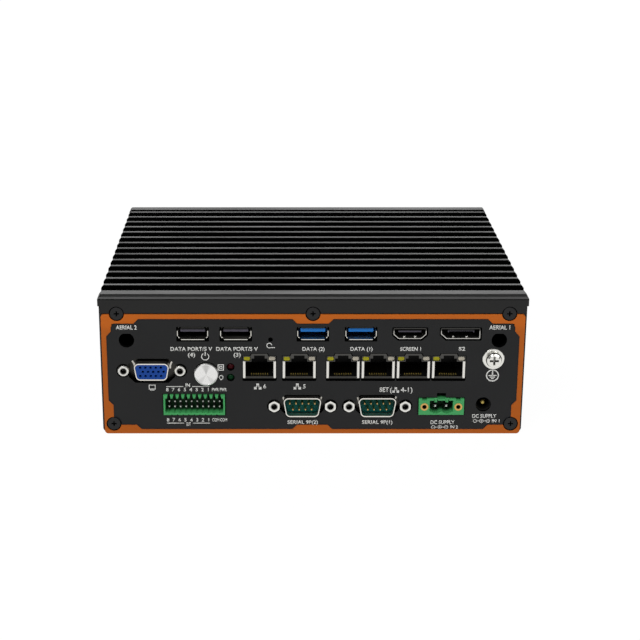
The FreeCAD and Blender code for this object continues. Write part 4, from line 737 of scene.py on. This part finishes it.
def panel_symbols():
    """Line symbols beside the controls."""
    p = Print()
    x, z = BUTTON.x - 0.35, BUTTON.z + 7.9
    p.arc(x, z, 1.6, 0.36, 122, 418)
    p.bar(x, z + 0.4, x, z + 2.3, 0.4)
    x, z = middle("status_led_red").x - 4.3, middle("status_led_red").z - 0.2
    p.frame(x, z, 2.7, 2.9, 0.36)
    p.frame(x, z, 1.3, 1.3, 0.28)
    x, z = middle("status_led_green").x - 4.2, middle("status_led_green").z
    p.arc(x, z + 0.15, 0.85, 0.34, -60, 240)
    p.box(x, z - 0.95, 0.75, 0.5)
    x, z = middle("reset_plunger").x, middle("reset_plunger").z
    p.arc(x - 0.5, z - 2.75, 1.1, 0.34, 10, 290)
    p.bar(x - 0.1, z - 3.75, x + 1.9, z - 3.75, 0.34)
    x, z = middle("video_port_shell").x, middle("video_port_shell").z
    p.frame(x, z - 7.8, 3.0, 2.2, 0.32)
    p.box(x, z - 9.25, 1.9, 0.32)
    x, z = GROUND.x - 0.05, GROUND.z
    p.arc(x, z - 8.0, 2.6, 0.5)
    p.bar(x, z - 8.0, x, z - 5.7, 0.5)
    for drop, wide in ((8.0, 3.6), (8.75, 2.4), (9.5, 1.2)):
        p.box(x, z - drop, wide, 0.42)
    return p.piece("panel_symbols")


# ---- line along the film's edge ------------------------------------------------------------------
def film_outline():
    """The film's outer edge as a closed chain of edges, read from its own front face."""
    shape = bmesh.new()
    shape.from_mesh(NODES["panel_overlay"].data)
    bmesh.ops.remove_doubles(shape, verts=shape.verts, dist=1e-6)
    shape.normal_update()
    front = {f for f in shape.faces if f.normal.y < -0.9}
    rim = [e for e in shape.edges if len([f for f in e.link_faces if f in front]) == 1]
    loops = []
    left = set(rim)
    while left:
        edge = left.pop()
        start, here = edge.verts
        chain = [start, here]
        while here != start:
            edge = next(e for e in here.link_edges if e in left)
            left.discard(edge)
            here = edge.other_vert(here)
            chain.append(here)
        loops.append([v.co.copy() for v in chain[:-1]])
    longest = max(loops, key=lambda chain: sum((a - b).length for a, b in zip(chain, chain[1:])))
    shape.free()
    return longest


def sweep_tree(material):
    """Geometry nodes: a flat strip swept along the piece's edges."""
    tree = bpy.data.node_groups.new("edge_strip", "GeometryNodeTree")
    face = tree.interface
    face.new_socket("Geometry", in_out="INPUT", socket_type="NodeSocketGeometry")
    wide = face.new_socket("Strip Width", in_out="INPUT", socket_type="NodeSocketFloat")
    thick = face.new_socket("Strip Thickness", in_out="INPUT", socket_type="NodeSocketFloat")
    face.new_socket("Geometry", in_out="OUTPUT", socket_type="NodeSocketGeometry")
    nodes, links = tree.nodes, tree.links
    enter = nodes.new("NodeGroupInput")
    leave = nodes.new("NodeGroupOutput")
    path = nodes.new("GeometryNodeMeshToCurve")
    profile = nodes.new("GeometryNodeCurvePrimitiveQuadrilateral")
    sweep = nodes.new("GeometryNodeCurveToMesh")
    whole = nodes.new("GeometryNodeRealizeInstances")
    paint = nodes.new("GeometryNodeSetMaterial")
    paint.inputs["Material"].default_value = material
    links.new(enter.outputs["Geometry"], path.inputs["Mesh"])
    links.new(enter.outputs["Strip Width"], profile.inputs["Width"])
    links.new(enter.outputs["Strip Thickness"], profile.inputs["Height"])
    links.new(path.outputs["Curve"], sweep.inputs["Curve"])
    links.new(profile.outputs["Curve"], sweep.inputs["Profile Curve"])
    links.new(sweep.outputs["Mesh"], whole.inputs["Geometry"])
    links.new(whole.outputs["Geometry"], paint.inputs["Geometry"])
    links.new(paint.outputs["Geometry"], leave.inputs["Geometry"])
    return tree, wide.identifier, thick.identifier


def film_edge():
    """Dark printed line just inside the film's edge."""
    chain = film_outline()
    centre = sum(chain, Vector()) / len(chain)
    path = bpy.data.meshes.new("film_edge_path")
    inset = 0.16 * MM
    points = []
    for corner in chain:
        inward_x = math.copysign(inset, corner.x - centre.x)
        inward_z = math.copysign(inset, corner.z - centre.z)
        points.append((corner.x - inward_x, FACE * MM, corner.z - inward_z))
    path.from_pydata(points, [(i, (i + 1) % len(points)) for i in range(len(points))], [])
    holder = bpy.data.objects.new("film_edge", path)
    bpy.context.scene.collection.objects.link(holder)
    tree, wide, thick = sweep_tree(MATS["edge"])
    modifier = holder.modifiers.new("strip", "NODES")
    modifier.node_group = tree
    modifier[wide] = 0.34 * MM
    modifier[thick] = 0.04 * MM
    bpy.context.view_layer.update()
    made = bpy.data.meshes.new_from_object(holder.evaluated_get(bpy.context.evaluated_depsgraph_get()))
    bpy.data.objects.remove(holder)
    fix = bmesh.new()
    fix.from_mesh(made)
    bmesh.ops.recalc_face_normals(fix, faces=fix.faces[:])
    fix.to_mesh(made)
    fix.free()
    return settle("film_edge_line", made)


# ---- studio ----------------------------------------------------------------------------------------
LOOK_DOWN = 17.6506             # degrees that the camera is tilted down


def soft_light(name, place, aim, size, power):
    lamp = bpy.data.lights.new(name, "AREA")
    lamp.shape = "RECTANGLE"
    lamp.size, lamp.size_y = size
    lamp.energy = power
    holder = bpy.data.objects.new(name, lamp)
    holder.location = place
    holder.rotation_euler = (Vector(aim) - Vector(place)).to_track_quat("-Z", "Y").to_euler()
    bpy.context.scene.collection.objects.link(holder)


def make_floor():
    """Pale floor that the camera sees white and that plated faces mirror."""
    mesh = bmesh.new()
    bmesh.ops.create_grid(mesh, x_segments=8, y_segments=8, size=2.5)
    data = bpy.data.meshes.new("floor")
    mesh.to_mesh(data)
    mesh.free()
    floor = bpy.data.objects.new("floor", data)
    floor.location = (0, 0, -0.0002)
    bpy.context.scene.collection.objects.link(floor)
    mat = surface("pale_floor", (0.5, 0.5, 0.5), 0.9, vary=0.01, grain=400, bump=0.02, patch=3.0, spec=0.05)
    tree = mat.node_tree
    shader = tree.nodes["Principled BSDF"]
    glow = tree.nodes.new("ShaderNodeEmission")
    glow.inputs["Color"].default_value = (1, 1, 1, 1)
    glow.inputs["Strength"].default_value = 1.12
    path = tree.nodes.new("ShaderNodeLightPath")
    seen = tree.nodes.new("ShaderNodeMath")
    seen.operation = "MULTIPLY"
    seen.inputs[1].default_value = 0.86
    mirrored = tree.nodes.new("ShaderNodeMath")
    mirrored.operation = "MULTIPLY_ADD"
    mirrored.inputs[1].default_value = 0.7
    mix = tree.nodes.new("ShaderNodeMixShader")
    out = tree.nodes["Material Output"]
    tree.links.new(path.outputs["Is Camera Ray"], seen.inputs[0])
    tree.links.new(path.outputs["Is Glossy Ray"], mirrored.inputs[0])
    tree.links.new(seen.outputs[0], mirrored.inputs[2])
    tree.links.new(mirrored.outputs[0], mix.inputs[0])
    tree.links.new(shader.outputs[0], mix.inputs[1])
    tree.links.new(glow.outputs[0], mix.inputs[2])
    tree.links.new(mix.outputs[0], out.inputs["Surface"])
    data.materials.append(mat)


def make_world():
    """White behind the object, and a dim even light on it."""
    world = bpy.data.worlds.new("studio")
    world.use_nodes = True
    tree = world.node_tree
    back = tree.nodes["Background"]
    path = tree.nodes.new("ShaderNodeLightPath")
    level = tree.nodes.new("ShaderNodeMapRange")
    level.inputs["To Min"].default_value = 0.12
    level.inputs["To Max"].default_value = 1.0
    tree.links.new(path.outputs["Is Camera Ray"], level.inputs["Value"])
    tree.links.new(level.outputs["Result"], back.inputs["Strength"])
    back.inputs["Color"].default_value = (1, 1, 1, 1)
    bpy.context.scene.world = world


def make_camera():
    """Long lens in front of the connector side, looking down on it."""
    cam = bpy.data.cameras.new("camera")
    cam.sensor_width = 36.0
    cam.lens = 82.605
    cam.shift_x = 0.0622
    cam.shift_y = -0.0663
    holder = bpy.data.objects.new("camera", cam)
    holder.location = (-0.01434, -0.6816, 0.26602)
    holder.rotation_euler = (math.radians(90 - LOOK_DOWN), 0, 0)
    bpy.context.scene.collection.objects.link(holder)
    bpy.context.scene.camera = holder


def make_studio():
    """World, floor, camera and three soft lights."""
    make_world()
    make_floor()
    make_camera()
    soft_light("backdrop", (0, 1.4, 0.75), (0, 0, 0.05), (2.6, 1.2), 19)
    soft_light("key", (-0.45, -1.0, 1.0), (0, -0.05, 0.03), (0.8, 0.6), 10)
    soft_light("fill", (0.7, -1.1, 0.6), (0, -0.05, 0.03), (0.8, 0.6), 4)
    bpy.context.scene.view_settings.view_transform = "Standard"


dress()
film_edge()
for marks in (port_numbers, network_numbers, channel_numbers, serial_numbers, panel_symbols):
    marks()
make_studio()
